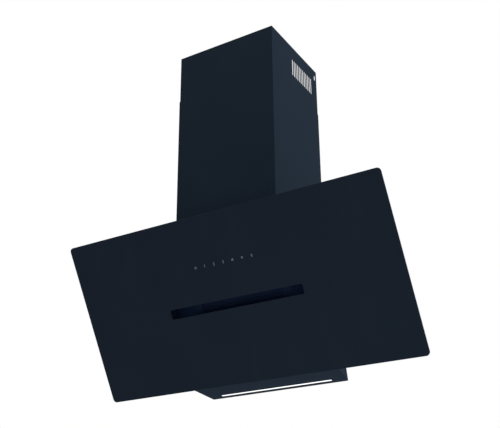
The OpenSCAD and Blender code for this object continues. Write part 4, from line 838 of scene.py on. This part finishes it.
def toothCoilTree():
    tree, given, made = newTree("toothCoils", coilSizes)
    wire = given["wire"]
    strand = circle(tree, statorLook["wireSides"], times(tree, wire, statorLook["wireShare"]))
    loops = []
    for layer in range(statorLook["layers"]):
        wider = times(tree, wire, 2.0 * layer + 1)
        loop = oblong(tree, *(reckon(tree, "ADD", given[label], wider) for label in ("along", "across")))
        bend = times(tree, wire, layer + statorLook["bendShare"])
        loops.append(swept(tree, filleted(tree, loop, bend, statorLook["bendSteps"]), strand))
    column = rowOf(tree, given["turns"], vectorOf(tree, z=wire), vectorOf(tree, z=given["foot"]))
    coil = onPoints(tree, column, together(tree, *loops))
    hub = rowOf(tree, given["teeth"], (0.0, 0.0, 0.0))
    turn = times(tree, geo(tree, "InputIndex"), over(tree, math.tau, given["teeth"]))
    ring = onPoints(tree, hub, coil, Rotation=vectorOf(tree, turn))
    return endTree(tree, moved(tree, ring, given["place"]), given, made)


stackTree = sheetStackTree()
sheets = grow(stackTree, toothedSheet(), "dark_steel",
              {"count": sheetCount, "step": statorLook["sheetStep"], "start": tuple(stackStart)})
standIn(gather([sheets], "statorSheets", "dark_steel"), "stator")
coils = grow(toothCoilTree(), newMesh("coilBase"), "copper_winding", coilSizes)
standIn(gather([coils], "statorCoils", "copper_winding"), "stator")
print("motor wound:", sheetCount, "sheets,", len(coils.polygons), "faces of wire")

# ball bearings at both ends of the motor
bearingLook = {"outer": 8 * mm, "bore": 4.4 * mm, "ring": 1.05 * mm, "wide": 7 * mm, "edge": 0.35 * mm, "balls": 8,
               "ball": 0.95 * mm}
bearingSides = {"race": 64, "cage": 48, "edge": 3, "ball": 16, "ballRings": 10}
cageShare = {"thick": 0.35, "wide": 2.3}  # of a ball's radius
shaftEnds = (-49.5 * mm, -13.5 * mm)


def bearingTree():
    tree, given, made = newTree("ballBearing", bearingLook)
    section = filleted(tree, oblong(tree, given["ring"], given["wide"]), given["edge"], bearingSides["edge"])
    half = times(tree, given["ring"], 0.5)
    radii = (reckon(tree, "SUBTRACT", given["outer"], half), reckon(tree, "ADD", given["bore"], half))
    races = [swept(tree, circle(tree, bearingSides["race"], radius), section) for radius in radii]
    middle = times(tree, reckon(tree, "ADD", given["outer"], given["bore"]), 0.5)
    track = geo(tree, "MeshCircle", {"Vertices": given["balls"], "Radius": middle})
    ball = geo(tree, "MeshUVSphere", {"Segments": bearingSides["ball"], "Rings": bearingSides["ballRings"],
                                      "Radius": given["ball"]})
    strip = oblong(tree, *(times(tree, given["ball"], cageShare[side]) for side in ("thick", "wide")))
    cage = swept(tree, circle(tree, bearingSides["cage"], middle), strip)
    whole = together(tree, *races, onPoints(tree, track, ball), cage)
    lying = moved(tree, whole, turn=(0.0, math.pi / 2, 0.0))
    return endTree(tree, onPoints(tree, given["Geometry"], lying), given, made)


shaftLine = newMesh("shaftLine", [(x, statorMiddle.y, statorMiddle.z) for x in shaftEnds])
bearings = grow(bearingTree(), shaftLine, "turned", bearingLook)
standIn(gather([bearings], "ballBearings", "turned"), "motor_bearings")
print("bearings made:", len(shaftEnds))

# main board: plate, transformer, relays, capacitors, driver chip and screw terminals
boardLook = {  # in millimetres from the corner: place, then sizes; a block's last value rounds its edges
    "corner": Vector((-160, -9.6, 90)), "plate": (2.3, 2.3, 80.4, 120.4, 1.6, 0.4), "plateFoot": -1.6,
    "coil": (12, 18, 38, 26, 16, 3.0), "coilFoot": 2.0, "core": (24.0, 14, 0.5, 34, 20, 0.05), "coreWide": 14,
    "cases": [(12, 84, 16, 20, 15, 0.8), (32, 84, 16, 20, 15, 0.8), (52, 84, 16, 20, 15, 0.8),
              (58, 56, 7, 19, 3.4, 0.4), (10, 110, 42, 8, 9, 0.6), (60, 8, 14, 8, 9, 0.6)],
    "cans": [(62, 22, 5.0, 17), (62, 36, 5.0, 17), (30, 66, 3.2, 11), (40, 66, 3.2, 11), (50, 68, 2.5, 8)],
    "canSides": 36,
    "legs": [(x, 58 + 2.54 * index, 1.2) for x in (57.3, 65.7) for index in range(7)],
    "clamps": [(16 + 7.5 * index, 114, 8.0) for index in range(5)] + [(63.5, 12, 8.0), (71, 12, 8.0)],
}
legSizes = {"wide": 0.6 * mm, "thick": 0.5 * mm, "tall": 2.4 * mm}
clampSizes = {"headRadius": 2.2 * mm, "headHeight": 1.4 * mm, "shankRadius": 1.2 * mm, "length": 5 * mm}


def onBoard(x, z, out=0.0):  # millimetres on the board to a place in the hood
    return (boardLook["corner"] + Vector((x, -out, z))) * mm


def roundedBlock(x, z, wide, high, deep, edge, foot=0.0):
    shape = bmesh.new()
    bmesh.ops.create_cube(shape, size=1)
    bmesh.ops.scale(shape, vec=(wide * mm, deep * mm, high * mm), verts=shape.verts)
    bmesh.ops.translate(shape, vec=onBoard(x + wide / 2, z + high / 2, foot + deep / 2), verts=shape.verts)
    bmesh.ops.bevel(shape, geom=list(shape.edges), offset=edge * mm, segments=3, affect="EDGES", profile=0.5)
    return asMesh(shape, "block")


def sleevedCan(x, z, radius, tall):  # drawn can with a crimped neck and a rolled rim
    outline = [(0, 0), (0.93, 0), (1, 0.05), (1, 0.10), (0.93, 0.13), (0.93, 0.15), (1, 0.18), (1, 0.95), (0.93, 1.0),
               (0.85, 1.0), (0.82, 0.985), (0, 0.985)]
    sides = boardLook["canSides"]
    shape = bmesh.new()
    rings = []
    for share, up in outline:
        out = share * radius
        angles = [math.tau * index / sides for index in range(sides if share else 1)]
        rings.append([shape.verts.new(onBoard(x + out * math.cos(angle), z + out * math.sin(angle), up * tall))
                      for angle in angles])
    for low, high in zip(rings, rings[1:]):
        for index in range(sides):
            after = (index + 1) % sides
            corners = [low[index % len(low)], low[after % len(low)], high[after % len(high)], high[index % len(high)]]
            shape.faces.new(list(dict.fromkeys(corners)))
    bmesh.ops.recalc_face_normals(shape, faces=shape.faces)
    return asMesh(shape, "can")


def chipLegTree():  # flat legs down the chip's sides
    tree, given, made = newTree("chipLegs", legSizes)
    leg = geo(tree, "MeshCube", {"Size": vectorOf(tree, given["thick"], given["tall"], given["wide"])})
    return endTree(tree, onPoints(tree, given["Geometry"], leg), given, made)


def pointsOf(label):
    return newMesh("places", [onBoard(*place) for place in boardLook[label]])


boardPieces = {  # meshes and finish of each piece of the board
    "boardPlate": ([roundedBlock(*boardLook["plate"], boardLook["plateFoot"])], "board_green"),
    "boardCases": ([roundedBlock(*case) for case in boardLook["cases"]]
                   + [sleevedCan(*can) for can in boardLook["cans"]], "dark_plastic"),
    "transformerCoil": ([roundedBlock(*boardLook["coil"], boardLook["coilFoot"])], "copper_winding"),
    "transformerSheets": ([grow(stackTree, roundedBlock(*boardLook["core"]), "dark_steel", {
        "count": int(boardLook["coreWide"] * mm / statorLook["sheetStep"]), "step": statorLook["sheetStep"],
        "start": (0.0, 0.0, 0.0)})], "dark_steel"),
    "boardMetal": ([grow(chipLegTree(), pointsOf("legs"), "bright_steel", legSizes),
                    grow(screwTree, pointsOf("clamps"), "bright_steel", {
                        **clampSizes, "aim": aimOf(Vector((0, -1, 0)))})], "bright_steel"),
}
for pieceName, (meshes, finish) in boardPieces.items():
    piece = standIn(gather(meshes, pieceName, finish), "power_board")
print("main board filled:", len(boardLook["cases"]) + len(boardLook["cans"]), "parts")
